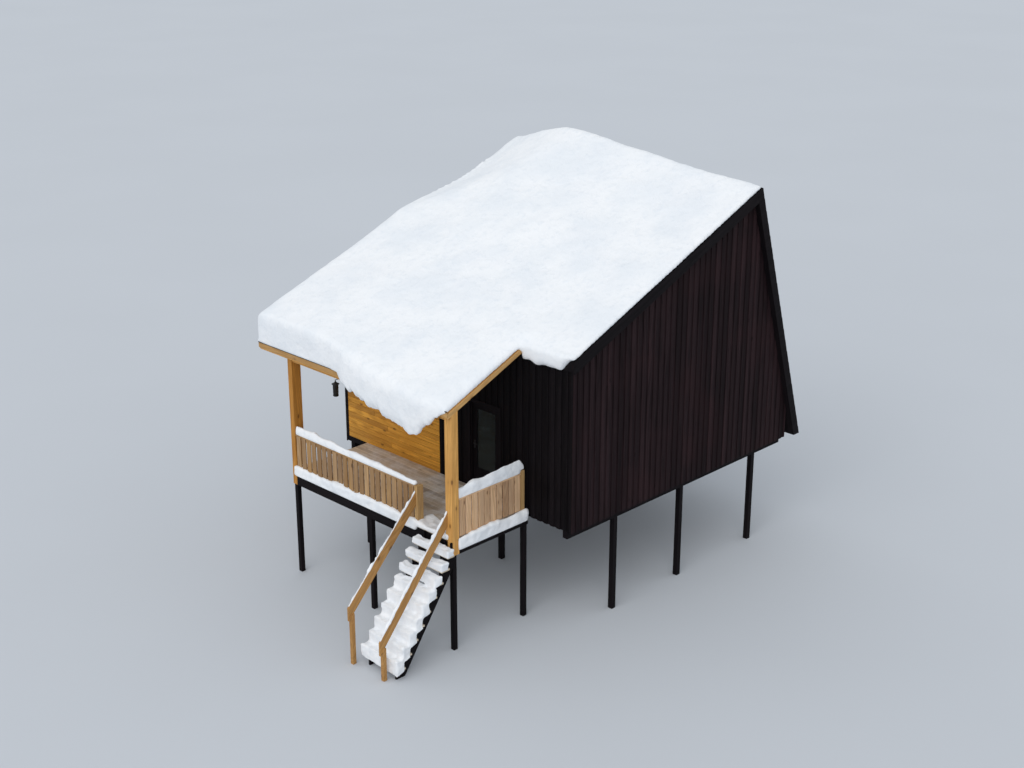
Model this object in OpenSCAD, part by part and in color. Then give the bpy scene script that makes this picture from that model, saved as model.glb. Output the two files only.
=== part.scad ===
// Raised cabin with one long low roof slope over a side porch and one steep slope
// X runs from the stairs to the steep side, Y along the ridge, Z up, all in millimetres

/* [House] */
// Height of the house floor above the lowest footing
floor_h = 2770; // [2000:10:3200]
// Thickness of the closed floor slab
floor_t = 220; // [120:5:300]
// Width of the house between the outer faces of its side walls
house_w = 7910; // [7000:10:9000]
// Length of the house between the outer faces of its gables
house_l = 7670; // [6600:10:8200]
// Thickness of the house walls
wall_t = 180; // [100:5:250]
// Thickness of the porch wall lining
lining_t = 25; // [15:1:40]
// Distance from the near gable to the start of the lining
lining_from = 4130; // [3700:10:4600]
// Width of the black corner strips
strip_w = 100; // [50:5:150]

/* [Roof] */
// Height of the ridge above the lowest footing
ridge_h = 9280; // [8600:10:10000]
// Distance of the ridge from the outer face of the porch-side wall
ridge_from_wall = 6240; // [5800:10:6400]
// Pitch of the long low slope in degrees
low_pitch = 22.6; // [18:0.1:25]
// Height of the steep-side wall above the floor
steep_wall_h = 550; // [300:10:900]
// Depth of the low roof slab, measured upright
low_roof_t = 240; // [160:5:300]
// Thickness of the steep roof slab
steep_roof_t = 210; // [140:5:260]
// Height of the steep roof's lower end above the lowest footing
steep_foot_h = 2550; // [2400:10:2900]
// Overhang of the main roof past the gables, barge boards included
gable_overhang = 150; // [100:5:300]
// Overhang of the low slope past the porch-side wall
side_overhang = 140; // [80:5:300]
// Thickness of the barge boards
barge_t = 30; // [20:1:40]
// Width of the barge boards, measured upright on the low slope
barge_w = 290; // [200:5:360]

/* [Porch] */
// Step down from the house floor to the deck
deck_drop = 70; // [20:5:200]
// Width of the deck from the wall to its outer edge
deck_w = 2340; // [2000:10:2800]
// Distance from the near gable's face to the deck's near edge
deck_from = 1340; // [1000:10:1700]
// Length of the deck
deck_l = 5560; // [5000:10:5800]
// Thickness of the deck boards
deck_board_t = 35; // [25:1:45]
// Height of the deck frame
deck_frame_h = 330; // [200:5:360]
// Thickness of the deck frame's boards
deck_frame_t = 45; // [35:1:60]
// Number of joists inside the deck frame
joist_count = 9; // [5:1:12]
// Depth of the porch roof slab, measured upright
porch_roof_t = 110; // [90:5:155]
// Overhang of the porch roof past the deck's outer edge
porch_eave = 120; // [80:5:300]
// Overhang of the porch roof past the deck's far end
porch_far_overhang = 920; // [500:10:1000]
// Thickness of the porch's rake and fascia boards
trim_t = 30; // [20:1:40]
// Height of the outer fascia board
fascia_h = 110; // [90:5:200]
// Height of the inner fascia board below the porch roof slab
inner_fascia_h = 40; // [30:5:150]
// Width of a roof post, away from the house wall
post_w = 200; // [160:10:400]
// Thickness of a roof post
post_t = 150; // [100:5:200]
// Number of porch rafters between the roof posts
rafters = 9; // [6:1:12]
// Number of porch rafters past the far roof post
far_rafters = 2; // [1:1:3]
// Width of a porch rafter
rafter_w = 50; // [40:1:70]
// Depth of the porch beam
beam_h = 180; // [120:5:240]
// Thickness of the porch beam
beam_t = 140; // [90:5:160]

/* [Railings] */
// Height of the railing above the deck
rail_h = 940; // [850:10:1100]
// Thickness of a top or bottom rail
rail_w = 45; // [35:1:60]
// Height of a top or bottom rail
rail_t = 90; // [60:5:120]
// Gap under the bottom rail
rail_gap = 90; // [60:5:150]
// Width of the cap board on a railing
cap_w = 100; // [85:5:130]
// Thickness of the cap board on a railing
cap_t = 28; // [20:1:40]
// Width of a baluster board
baluster_w = 130; // [80:5:140]
// Thickness of a baluster board
baluster_t = 28; // [20:1:30]
// Gap under a baluster board
baluster_gap = 40; // [20:5:60]
// Target distance between baluster centres
baluster_pitch = 190; // [180:5:240]
// Side of the near railing's newel post
newel_w = 110; // [90:5:140]
// Height of the near railing's newel above the railing
newel_rise = 60; // [30:5:150]
// Width of the newel post at the stairs
stair_newel_w = 180; // [110:5:240]
// Thickness of the newel post at the stairs
stair_newel_t = 90; // [70:5:120]
// Distance of the stair newel from the deck's near edge
newel_from = 1120; // [1080:10:1300]
// Distance of the near railing's newel from the house wall
near_newel_gap = 120; // [60:5:200]

/* [Stairs] */
// Number of risers from the ground to the deck
risers = 10; // [8:1:12]
// Going of one step
going = 190; // [170:1:240]
// Overhang of a tread past the step below
tread_nose = 45; // [20:5:60]
// Thickness of a tread
tread_t = 40; // [30:1:50]
// Clear width between the stringers
stair_w = 820; // [700:10:850]
// Overhang of a tread past the stringers' outer faces
tread_over = 100; // [30:5:110]
// Thickness of a stringer
stringer_t = 45; // [35:1:60]
// Depth of a stringer under its notches, measured upright
stringer_h = 320; // [260:5:400]
// Height of the near handrail's top above the deck at the deck's edge
near_handrail_h = 630; // [480:10:900]
// Height of the near handrail's top above the ground at its lower end
near_handrail_foot_h = 950; // [800:10:1200]
// Height of the far handrail's top above the deck at the deck's edge
far_handrail_h = 800; // [600:10:900]
// Height of the far handrail's top above the ground at its lower end
far_handrail_foot_h = 1400; // [900:10:1500]
// Depth of a handrail board, measured upright
handrail_d = 320; // [140:5:360]
// Side of a handrail's foot post
foot_post_w = 90; // [60:5:110]

/* [Footings] */
// Side of a pier
pier_w = 125; // [100:5:200]
// Distance of the first pier row from the porch-side wall
first_pier = 1640; // [800:10:2000]
// Distance of the middle pier row from the porch-side wall
middle_pier = 4020; // [2600:10:4800]
// Distance of the last pier row from the porch-side wall
last_pier = 6840; // [5200:10:6900]
// Height of a pier girder
girder_h = 200; // [140:5:260]
// Width of a pier girder
girder_w = 140; // [100:5:200]
// Distance of the outer girders' middles from the gables
girder_inset = 200; // [100:5:600]
// Side of a deck post
deck_post_w = 110; // [90:5:150]
// Distance of a deck post's middle from the deck's edges
deck_post_inset = 75; // [75:5:200]

/* [Door] */
// Distance from the near gable to the doorway
door_from = 2250; // [1900:10:2700]
// Width of the doorway
door_w = 950; // [800:10:1100]
// Height of the doorway
door_h = 2080; // [1950:10:2200]
// Thickness of the door frame
frame_t = 50; // [40:1:70]
// Thickness of the door leaf
leaf_t = 60; // [40:1:70]
// Gap between the door leaf and its frame
leaf_gap = 0.5; // [0.3:0.1:3]
// Width of the door leaf's stiles
stile_w = 120; // [90:5:160]
// Height of the solid panel at the door leaf's foot
panel_h = 420; // [300:10:800]
// Thickness of the door glass
glass_t = 24; // [10:1:28]
// Distance of the door leaf behind the wall's outer face
leaf_inset = 40; // [20:1:60]

/* [Lantern] */
// Diameter of the lantern's body
lantern_d = 160; // [120:5:200]
// Height of the lantern's body
lantern_h = 320; // [240:5:400]
// Length of the lantern's arm
lantern_arm = 260; // [180:5:320]
// Height of the lantern's arm above the deck
lantern_from_deck = 1550; // [1250:10:1900]
// Side of the lantern's arm
lantern_bar = 30; // [20:1:40]
// Width of the lantern's wall plate
lantern_plate_w = 80; // [60:5:95]
// Height of the lantern's wall plate
lantern_plate_h = 160; // [120:5:240]
// Thickness of the lantern's wall plate
lantern_plate_t = 20; // [10:1:30]
// Height of the lantern's hood
lantern_hood_h = 60; // [40:5:90]
// Overhang of the lantern's hood around its body
lantern_hood_over = 20; // [10:1:40]

/* [Snow] */
// Depth of the snow at the middle of the roof
snow_depth = 640; // [300:10:700]
// Distance from the main roof's near edge over which the snow gets to its full depth
snow_fade = 5900; // [4000:100:7400]
// Radius of the snow's rounded edges
snow_edge_r = 250; // [150:10:400]
// Radius of the snow's rounding at the far end of the ridge
snow_far_r = 2100; // [600:50:2400]
// Distance that the snow hangs out past the porch eave
snow_lip = 170; // [80:5:240]
// Distance that the snow hangs down past the porch eave at its deepest
snow_droop = 700; // [200:10:800]
// Distance along the eave from the porch's near edge to the deepest snow
droop_from = 1000; // [600:10:1400]
// Length along the eave over which the hanging snow gets thinner
droop_l = 2200; // [1800:10:3600]
// Depth of the snow on the long railing
rail_snow = 110; // [60:5:160]
// Depth of the snow on the near railing
near_rail_snow = 260; // [100:5:320]
// Depth of the snow on a tread
tread_snow_t = 160; // [30:5:175]

/* [Hidden] */

$fn = 32;

// Plan lines, measured from the deck's outer edge and the main roof's near edge
wall_x = deck_w;
house_x1 = wall_x + house_w;
near_y = gable_overhang;
far_y = near_y + house_l;
roof_y1 = far_y + gable_overhang;
deck_y0 = near_y + deck_from;
deck_y1 = deck_y0 + deck_l;
floor_under = floor_h - floor_t;
deck_h = floor_h - deck_drop;

// How far a cutting shape runs past what it cuts
past = 1;

// Roof planes: the steep slab's inner face meets the top of the steep-side wall's outer face
low_rise = tan(low_pitch);
ridge_x = wall_x + ridge_from_wall;
steep_run = house_x1 - ridge_x;
steep_fall = ridge_h - floor_h - steep_wall_h;
steep_pitch = atan2(steep_fall, steep_run) - asin(steep_roof_t / norm([steep_run, steep_fall]));
steep_rise = tan(steep_pitch);
low_edge_x = wall_x - side_overhang;
steep_t = steep_roof_t / sin(steep_pitch);
steep_foot_x = ridge_x + (ridge_h - steep_foot_h) / steep_rise;
function roof_z(x) = ridge_h - low_rise * (ridge_x - x);
// Corner where the steep slab's inner face meets a plane that lies down below the low slope's top
function inner_u(down) = (steep_t - down / steep_rise) / (1 + low_rise / steep_rise);
function inner_corner(down) = [ridge_x - inner_u(down), roof_z(ridge_x - inner_u(down)) - down];
// Height of the steep slab's inner face at a given X
function steep_inner_z(x) = ridge_h - steep_rise * (x - ridge_x + steep_t);

// Porch lines
eave_x = -porch_eave;
porch_y0 = deck_y0;
porch_y1 = deck_y1 + porch_far_overhang;
deck_under = deck_h - deck_board_t;
deck_frame_under = deck_under - deck_frame_h;
rafter_under = low_roof_t;
far_post_y = deck_y1 - post_t;

// Stair lines
stair_y0 = deck_y0;
stair_y1 = stair_y0 + stair_w + 2 * stringer_t;
tread_l = stair_y1 - stair_y0 + 2 * tread_over;
rise = deck_h / risers;
step_slope = rise / going;
stair_run = going * (risers - 1);
newel_y = deck_y0 + newel_from;

// Plan centre of the whole object, which carries the origin
handrail_past = 300;
handrail_end_x = -stair_run - handrail_past;
centre_x = (handrail_end_x + steep_foot_x) / 2;
centre_y = porch_y1 / 2;

module placed() {
    translate([-centre_x, -centre_y, 0])
        children();
}

// Shape drawn in X and Z, run along Y from one line to another
module along_y(y0, y1) {
    translate([0, y1, 0])
        rotate([90, 0, 0])
            linear_extrude(height = y1 - y0)
                children();
}

// Upright square post between two heights
module square_post(x, y, side, z0, z1) {
    translate([x - side / 2, y - side / 2, z0])
        cube([side, side, z1 - z0]);
}

// Footings
pier_xs = [wall_x + first_pier, wall_x + middle_pier, wall_x + last_pier];
girder_ys = [near_y + girder_inset, (near_y + far_y) / 2, far_y - girder_inset];
deck_post_ys = [deck_y0 + deck_post_inset, (deck_y0 + deck_y1) / 2, deck_y1 - deck_post_inset];
deck_post_xs = [deck_post_inset, deck_w - deck_post_inset];

module piers() {
    color("#1c1a1b")
        placed()
            for (x = pier_xs, y = girder_ys)
                square_post(x, y, pier_w, 0, floor_under - girder_h);
}

module girders() {
    color("#1f1c1d")
        placed()
            for (y = girder_ys)
                translate([wall_x, y - girder_w / 2, floor_under - girder_h])
                    cube([house_w, girder_w, girder_h]);
}

module house_floor() {
    color("#2a2627")
        placed()
            translate([wall_x, near_y, floor_under])
                cube([house_w, house_l, floor_t]);
}

// Gable outline between the floor and the roof's undersides
module gable_outline() {
    top = inner_corner(low_roof_t);
    polygon([
        [wall_x, floor_h],
        [house_x1, floor_h],
        [house_x1, steep_inner_z(house_x1)],
        top,
        [wall_x, roof_z(wall_x) - low_roof_t]
    ]);
}

module near_gable_wall() {
    color("#2b2423")
        placed()
            along_y(near_y, near_y + wall_t)
                gable_outline();
}

module far_gable_wall() {
    color("#231f20")
        placed()
            along_y(far_y - wall_t, far_y)
                gable_outline();
}

// Stretch of the porch-side wall with its top cut to the roof
module side_wall(y0, y1, z0) {
    along_y(y0, y1)
        polygon([
            [wall_x, z0],
            [wall_x + wall_t, z0],
            [wall_x + wall_t, roof_z(wall_x + wall_t) - low_roof_t],
            [wall_x, roof_z(wall_x) - low_roof_t]
        ]);
}

inner_y0 = near_y + wall_t;
inner_y1 = far_y - wall_t;
door_y0 = near_y + door_from;
door_y1 = door_y0 + door_w;
door_top = floor_h + door_h;

module porch_side_wall_near() {
    color("#211d1e")
        placed()
            side_wall(inner_y0, door_y0, floor_h);
}

module porch_side_wall_over_door() {
    color("#211d1e")
        placed()
            side_wall(door_y0, door_y1, door_top);
}

module porch_side_wall_far() {
    color("#211d1e")
        placed()
            side_wall(door_y1, inner_y1, floor_h);
}

module steep_side_wall() {
    inner_x = house_x1 - wall_t;
    color("#211d1e")
        placed()
            along_y(inner_y0, inner_y1)
                polygon([
                    [inner_x, floor_h],
                    [house_x1, floor_h],
                    [house_x1, steep_inner_z(house_x1)],
                    [inner_x, steep_inner_z(inner_x)]
                ]);
}

// Lining and strips stand on the deck in front of the porch-side wall
lining_y0 = near_y + lining_from;

module wall_board(y0, y1) {
    along_y(y0, y1)
        polygon([
            [wall_x - lining_t, deck_h],
            [wall_x, deck_h],
            [wall_x, roof_z(wall_x) - low_roof_t],
            [wall_x - lining_t, roof_z(wall_x - lining_t) - low_roof_t]
        ]);
}

module wall_lining() {
    color("#b9772c")
        placed()
            wall_board(lining_y0 + strip_w, far_y - strip_w);
}

module corner_strips() {
    color("#141213")
        placed() {
            wall_board(lining_y0, lining_y0 + strip_w);
            wall_board(far_y - strip_w, far_y);
        }
}

// Door, closed, behind the near part of the porch
module door_frame() {
    color("#191718")
        placed()
            difference() {
                translate([wall_x, door_y0, floor_h])
                    cube([wall_t, door_w, door_h]);
                translate([wall_x - past, door_y0 + frame_t, floor_h - past])
                    cube([wall_t + 2 * past, door_w - 2 * frame_t, door_h - frame_t + past]);
            }
}

leaf_y0 = door_y0 + frame_t + leaf_gap;
leaf_y1 = door_y1 - frame_t - leaf_gap;
leaf_z0 = floor_h + leaf_gap;
leaf_z1 = door_top - frame_t - leaf_gap;
leaf_x = wall_x + leaf_inset;
pane_w = leaf_y1 - leaf_y0 - 2 * stile_w;
pane_h = leaf_z1 - leaf_z0 - panel_h - stile_w;

module door_leaf() {
    color("#1d1b1c")
        placed()
            difference() {
                translate([leaf_x, leaf_y0, leaf_z0])
                    cube([leaf_t, leaf_y1 - leaf_y0, leaf_z1 - leaf_z0]);
                translate([leaf_x - past, leaf_y0 + stile_w, leaf_z0 + panel_h])
                    cube([leaf_t + 2 * past, pane_w, pane_h]);
            }
}

module door_glass() {
    color("#3a4a50")
        placed()
            translate([leaf_x + (leaf_t - glass_t) / 2, leaf_y0 + stile_w, leaf_z0 + panel_h])
                cube([glass_t, pane_w, pane_h]);
}

// Roof slabs
main_y0 = barge_t;
main_y1 = roof_y1 - barge_t;

module low_roof() {
    color("#2a2829")
        placed()
            along_y(main_y0, main_y1)
                polygon([
                    [low_edge_x, roof_z(low_edge_x)],
                    inner_corner(0),
                    inner_corner(low_roof_t),
                    [low_edge_x, roof_z(low_edge_x) - low_roof_t]
                ]);
}

module steep_roof() {
    color("#262425")
        placed()
            along_y(main_y0, main_y1)
                polygon([
                    [ridge_x, ridge_h],
                    [steep_foot_x, steep_foot_h],
                    [steep_foot_x - steep_t, steep_foot_h],
                    inner_corner(0)
                ]);
}

// Barge boards that close the two roof slabs at one gable, mitred where they meet
mitre_gap = 1;

module barge_boards(y0, y1) {
    along_y(y0, y1) {
        polygon([
            [low_edge_x, roof_z(low_edge_x)],
            inner_corner(0) - [mitre_gap, low_rise * mitre_gap],
            inner_corner(barge_w) - [mitre_gap, low_rise * mitre_gap],
            [low_edge_x, roof_z(low_edge_x) - barge_w]
        ]);
        polygon([
            [ridge_x, ridge_h],
            [steep_foot_x, steep_foot_h],
            [steep_foot_x - steep_t, steep_foot_h],
            inner_corner(0)
        ]);
    }
}

module near_barge_boards() {
    color("#100f10")
        placed()
            barge_boards(0, barge_t);
}

module far_barge_boards() {
    color("#100f10")
        placed()
            barge_boards(roof_y1 - barge_t, roof_y1);
}

porch_slab_x = eave_x + trim_t;
rafter_x = porch_slab_x + trim_t;

module porch_roof() {
    color("#a9713a")
        placed()
            along_y(porch_y0 + trim_t, porch_y1 - trim_t)
                polygon([
                    [porch_slab_x, roof_z(porch_slab_x)],
                    [low_edge_x, roof_z(low_edge_x)],
                    [low_edge_x, roof_z(low_edge_x) - porch_roof_t],
                    [porch_slab_x, roof_z(porch_slab_x) - porch_roof_t]
                ]);
}

module rafter_row(y0, y1, count) {
    clear = (y1 - y0 - count * rafter_w) / (count + 1);
    for (i = [0 : count - 1])
        translate([0, y0 + clear + i * (rafter_w + clear), 0])
            along_y(0, rafter_w)
                polygon([
                    [rafter_x, roof_z(rafter_x) - porch_roof_t],
                    [low_edge_x, roof_z(low_edge_x) - porch_roof_t],
                    [low_edge_x, roof_z(low_edge_x) - rafter_under],
                    [rafter_x, roof_z(rafter_x) - rafter_under]
                ]);
}

module porch_rafters() {
    color("#b77c3f")
        placed() {
            rafter_row(deck_y0 + post_t, far_post_y, rafters);
            rafter_row(deck_y1, porch_y1 - trim_t, far_rafters);
        }
}

// Beam under the rafters, let in between the roof posts
beam_x0 = (post_w - beam_t) / 2;

module beam_run(y0, y1) {
    along_y(y0, y1)
        polygon([
            [beam_x0, roof_z(beam_x0) - rafter_under],
            [beam_x0 + beam_t, roof_z(beam_x0 + beam_t) - rafter_under],
            [beam_x0 + beam_t, roof_z(beam_x0) - rafter_under - beam_h],
            [beam_x0, roof_z(beam_x0) - rafter_under - beam_h]
        ]);
}

module porch_beam() {
    color("#c28746")
        placed() {
            beam_run(deck_y0 + post_t, far_post_y);
            beam_run(deck_y1, porch_y1 - trim_t);
        }
}

module rake_board(y0) {
    along_y(y0, y0 + trim_t)
        polygon([
            [porch_slab_x, roof_z(porch_slab_x)],
            [low_edge_x, roof_z(low_edge_x)],
            [low_edge_x, roof_z(low_edge_x) - porch_roof_t],
            [porch_slab_x, roof_z(porch_slab_x) - porch_roof_t]
        ]);
}

module porch_rake_boards() {
    color("#c98a45")
        placed() {
            rake_board(porch_y0);
            rake_board(porch_y1 - trim_t);
        }
}

module porch_fascia() {
    color("#cf9450")
        placed() {
            translate([eave_x, porch_y0, roof_z(porch_slab_x) - fascia_h])
                cube([trim_t, porch_y1 - porch_y0, fascia_h]);
            translate([porch_slab_x, porch_y0 + trim_t, roof_z(porch_slab_x) - porch_roof_t - inner_fascia_h])
                cube([trim_t, porch_y1 - porch_y0 - 2 * trim_t, inner_fascia_h]);
        }
}

// Roof posts run from the deck frame's underside to the porch roof slab
module roof_post_outline() {
    polygon([
        [0, deck_frame_under],
        [post_w, deck_frame_under],
        [post_w, roof_z(post_w) - porch_roof_t],
        [0, roof_z(0) - porch_roof_t]
    ]);
}

module near_roof_post() {
    color("#d9a05a")
        placed()
            along_y(deck_y0, deck_y0 + post_t)
                roof_post_outline();
}

module far_roof_post() {
    color("#c48a48")
        placed()
            along_y(far_post_y, deck_y1)
                roof_post_outline();
}

// Deck: a rim board between the roof posts, a board along the wall and joists between them
module deck_rim_boards() {
    color("#2b2522")
        placed() {
            translate([0, deck_y0 + post_t, deck_frame_under])
                cube([deck_frame_t, far_post_y - deck_y0 - post_t, deck_frame_h]);
            translate([deck_w - deck_frame_t, deck_y0, deck_frame_under])
                cube([deck_frame_t, deck_l, deck_frame_h]);
        }
}

module deck_joists() {
    joist_step = (deck_l - deck_frame_t) / (joist_count + 1);
    color("#2b2522")
        placed()
            for (i = [0 : joist_count + 1]) {
                outer = i == 0 || i == joist_count + 1 ? post_w : deck_frame_t;
                translate([outer, deck_y0 + i * joist_step, deck_frame_under])
                    cube([deck_w - deck_frame_t - outer, deck_frame_t, deck_frame_h]);
            }
}

module deck_boards() {
    color("#9a917f")
        placed()
            difference() {
                translate([0, deck_y0, deck_under])
                    cube([deck_w, deck_l, deck_board_t]);
                for (y = [deck_y0 - past, far_post_y])
                    translate([-past, y, deck_under - past])
                        cube([post_w + past, post_t + past, deck_board_t + 2 * past]);
            }
}

module deck_posts() {
    color("#3a3330")
        placed()
            for (x = deck_post_xs, y = deck_post_ys)
                square_post(x, y, deck_post_w, 0, deck_frame_under);
}

// Railing panel of a given length along X, with its boards on the -Y side of y = 0
module railing_panel(length) {
    under_cap = rail_h - cap_t;
    boards = max(1, round(length / baluster_pitch));
    clear = (length - boards * baluster_w) / (boards + 1);
    for (z = [rail_gap, under_cap - rail_t])
        translate([0, 0, z])
            cube([length, rail_w, rail_t]);
    translate([0, rail_w / 2 - cap_w / 2, under_cap])
        cube([length, cap_w, cap_t]);
    for (i = [0 : boards - 1])
        translate([clear + i * (baluster_w + clear), -baluster_t, baluster_gap])
            cube([baluster_w, baluster_t, under_cap - baluster_gap]);
}

board_setback = 2;
rail_inset = baluster_t + board_setback;
long_rail_y0 = newel_y + stair_newel_t;
end_newel_x = deck_w - newel_w - near_newel_gap;
end_rail_l = end_newel_x - post_w;

module long_railing() {
    color("#cfa57a")
        placed()
            translate([rail_inset, far_post_y, deck_h])
                rotate([0, 0, -90])
                    railing_panel(far_post_y - long_rail_y0);
}

module near_railing() {
    color("#c79a68")
        placed()
            translate([post_w, deck_y0 + rail_inset, deck_h])
                railing_panel(end_rail_l);
}

module railing_newels() {
    color("#c98f52")
        placed() {
            translate([0, newel_y, deck_h])
                cube([stair_newel_w, stair_newel_t, rail_h]);
            translate([end_newel_x, deck_y0, deck_h])
                cube([newel_w, newel_w, rail_h + newel_rise]);
        }
}

// Stairs: notched stringers hooked up against the deck's edge, with the treads laid in their notches
function step_top(i) = deck_h - i * rise;
stringer_hook = 45;
hook_top = deck_under;
notch_line = deck_h - rise - tread_t;

module stringer_outline() {
    polygon([
        [0, hook_top],
        [-stringer_hook, hook_top],
        [-stringer_hook, step_top(1) - tread_t],
        for (i = [1 : risers - 2])
            each [[-i * going, step_top(i) - tread_t], [-i * going, step_top(i + 1) - tread_t]],
        [-stair_run, step_top(risers - 1) - tread_t],
        [-stair_run, 0],
        [(stringer_h - notch_line) / step_slope, 0],
        [0, notch_line - stringer_h]
    ]);
}

module stringers() {
    color("#2a2523")
        placed()
            for (y = [stair_y0, stair_y1 - stringer_t])
                along_y(y, y + stringer_t)
                    stringer_outline();
}

// The uppermost tread stops at the stringers' hooks, the others run back to the nosing line above
function tread_d(i) = going + tread_nose - (i == 1 ? stringer_hook : 0);

module treads() {
    color("#8a7460")
        placed()
            for (i = [1 : risers - 1])
                translate([-i * going - tread_nose, stair_y0 - tread_over, step_top(i) - tread_t])
                    cube([tread_d(i), tread_l, tread_t]);
}

// Handrail board from the post that holds its upper end to a foot post notched round its lower end
near_handrail_x = post_w / 3;
foot_post_setback = 60;
foot_post_lap = 90;
foot_post_x = handrail_end_x + foot_post_setback;

module handrail(y, top_x, height, foot_height) {
    slope = (deck_h + height - foot_height) / -handrail_end_x;
    function top(x) = deck_h + height + slope * min(x, 0);
    function under(x) = top(x) - handrail_d;
    foot_y = y + (stringer_t - foot_post_w) / 2;
    along_y(y, y + stringer_t)
        polygon([
            [handrail_end_x, top(handrail_end_x)],
            [handrail_end_x, under(handrail_end_x)],
            [0, under(0)],
            if (top_x > 0) each [[top_x, under(0)], [top_x, top(0)]],
            [0, top(0)]
        ]);
    translate([foot_post_x, foot_y, 0])
        cube([foot_post_w, foot_post_w, under(foot_post_x) + foot_post_lap]);
}

module near_handrail() {
    color("#c29258")
        placed()
            handrail(deck_y0 + post_t, near_handrail_x, near_handrail_h, near_handrail_foot_h);
}

module far_handrail() {
    color("#a97f4a")
        placed()
            handrail(newel_y + stair_newel_t - stringer_t, 0, far_handrail_h, far_handrail_foot_h);
}

// Lantern on the far end of the porch wall
lantern_y = far_y - strip_w / 2;
lantern_z = deck_h + lantern_from_deck;
lantern_x = wall_x - lining_t - lantern_arm - lantern_d / 2;
plate_x = wall_x - lining_t - lantern_plate_t;
hood_top = lantern_z - lantern_bar;
body_top = hood_top - lantern_hood_h;

module lantern() {
    color("#0d0d0e")
        placed()
            union() {
                translate([plate_x, lantern_y - lantern_plate_w / 2, lantern_z - lantern_plate_h / 2])
                    cube([lantern_plate_t, lantern_plate_w, lantern_plate_h]);
                translate([lantern_x, lantern_y - lantern_bar / 2, lantern_z])
                    cube([plate_x - lantern_x, lantern_bar, lantern_bar]);
                translate([lantern_x, lantern_y, body_top])
                    cylinder(d = lantern_bar, h = lantern_z + lantern_bar - body_top);
                translate([lantern_x, lantern_y, body_top])
                    cylinder(d1 = lantern_d + 2 * lantern_hood_over, d2 = lantern_bar, h = lantern_hood_h);
                translate([lantern_x, lantern_y, body_top - lantern_h])
                    cylinder(d = lantern_d, h = lantern_h);
            }
}

// Snow, as smooth lofts of upright sections along Y
function share(t) = min(1, max(0, t));
function ease(t) = let (s = share(t)) s * s * (3 - 2 * s);
// Height of a rounded edge, as a share of the full height, at a distance from the edge
edge_share = 0.35;
function rounded(d, r) = edge_share + (1 - edge_share) * sqrt(1 - pow(1 - share(d / r), 2));

// The snow is thin at the near gable and a little deeper towards the ridge
near_share = 0.15;
fade_power = 1.2;
eave_share = 1.25;
ridge_share = 1.16;
sag_share = 0.2;
function near_thin(y) = near_share + (1 - near_share) * pow(share(y / snow_fade), fade_power);
function snow_swell(x) =
    let (t = share((x - eave_x) / (ridge_x - eave_x)))
    eave_share + (ridge_share - eave_share) * t - sag_share * sin(180 * t);
function snow_h(x, y) = snow_depth * near_thin(y) * snow_swell(x);
// At the far end the snow stands upright over the eave and falls off in a wide round at the ridge
far_eave_share = 0.84;
far_ridge_share = 0.06;
far_change_from = 0.48;
far_change = 0.34;
far_power = 1.4;
function far_rounded(d, x) =
    let (
        t = ease(((x - eave_x) / (ridge_x - eave_x) - far_change_from) / far_change),
        low = far_eave_share + (far_ridge_share - far_eave_share) * t,
        r = snow_edge_r + (snow_far_r - snow_edge_r) * t
    )
    low + (1 - low) * (1 - pow(1 - share(d / r), far_power));

module loft(sections) {
    n = len(sections);
    m = len(sections[0]);
    points = [for (s = sections) each s];
    sides = [
        for (i = [0 : n - 2], j = [0 : m - 1])
            let (a = i * m + j, b = i * m + (j + 1) % m, c = a + m, d = b + m)
            each [[a, c, b], [b, c, d]]
    ];
    first = [for (j = [0 : m - 1]) j];
    last = [for (j = [m - 1 : -1 : 0]) (n - 1) * m + j];
    polyhedron(points = points, faces = concat(sides, [first, last]), convexity = 6);
}

// Places between two lines, closer together where an edge is rounded
edge_steps = [0, 0.12, 0.3, 0.6, 1];
function between(a, b, cells) = [for (i = [1 : cells - 1]) a + (b - a) * i / cells];
function spread(a, b, cells) = concat(
    [for (s = edge_steps) a + s * snow_edge_r],
    between(a + snow_edge_r, b - snow_edge_r, cells),
    [for (i = [len(edge_steps) - 1 : -1 : 0]) b - edge_steps[i] * snow_edge_r]
);

function house_snow_h(x, y) =
    let (eave = y < porch_y0 ? rounded(x - low_edge_x, snow_edge_r) : 1)
    snow_h(x, y) * rounded(ridge_x - x, snow_edge_r) * far_rounded(roof_y1 - y, x) * eave;

function house_snow_section(y) = concat(
    [[low_edge_x, y, roof_z(low_edge_x)]],
    [for (x = spread(low_edge_x, ridge_x, 9)) [x, y, roof_z(x) + house_snow_h(x, y)]],
    [[ridge_x, y, ridge_h]]
);

module house_roof_snow() {
    color("#eef4fa")
        placed()
            loft([for (y = spread(0, roof_y1, 22)) house_snow_section(y)]);
}

// How far the snow curls over the porch eave, along the eave
droop_end_l = 450;
thin_share = 0.3;
function lip(y) =
    let (d = y - porch_y0, past_peak = share((d - droop_from) / droop_l))
    ease(d / droop_from) * (1 - (1 - thin_share) * past_peak)
    * (1 - ease((d - droop_from - droop_l) / droop_end_l));
lip_least_out = 25;
lip_least_down = 15;
function lip_out(y) = lip_least_out + snow_lip * min(1, 2 * lip(y));
function lip_down(y) = lip_least_down + snow_droop * lip(y);
snow_face = eave_x - 2;

function porch_snow_h(x, y) =
    snow_h(x, y) * rounded(y - porch_y0, 2 * snow_edge_r) * far_rounded(porch_y1 - y, x);

// Lip outline as shares of its reach out and down, or up to the snow's top
lip_low = [[0, 1], [0.6, 1.02], [1, 0.6]];
lip_high = [[1, 0.3], [0.8, 0.66], [0.4, 0.9]];

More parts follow.
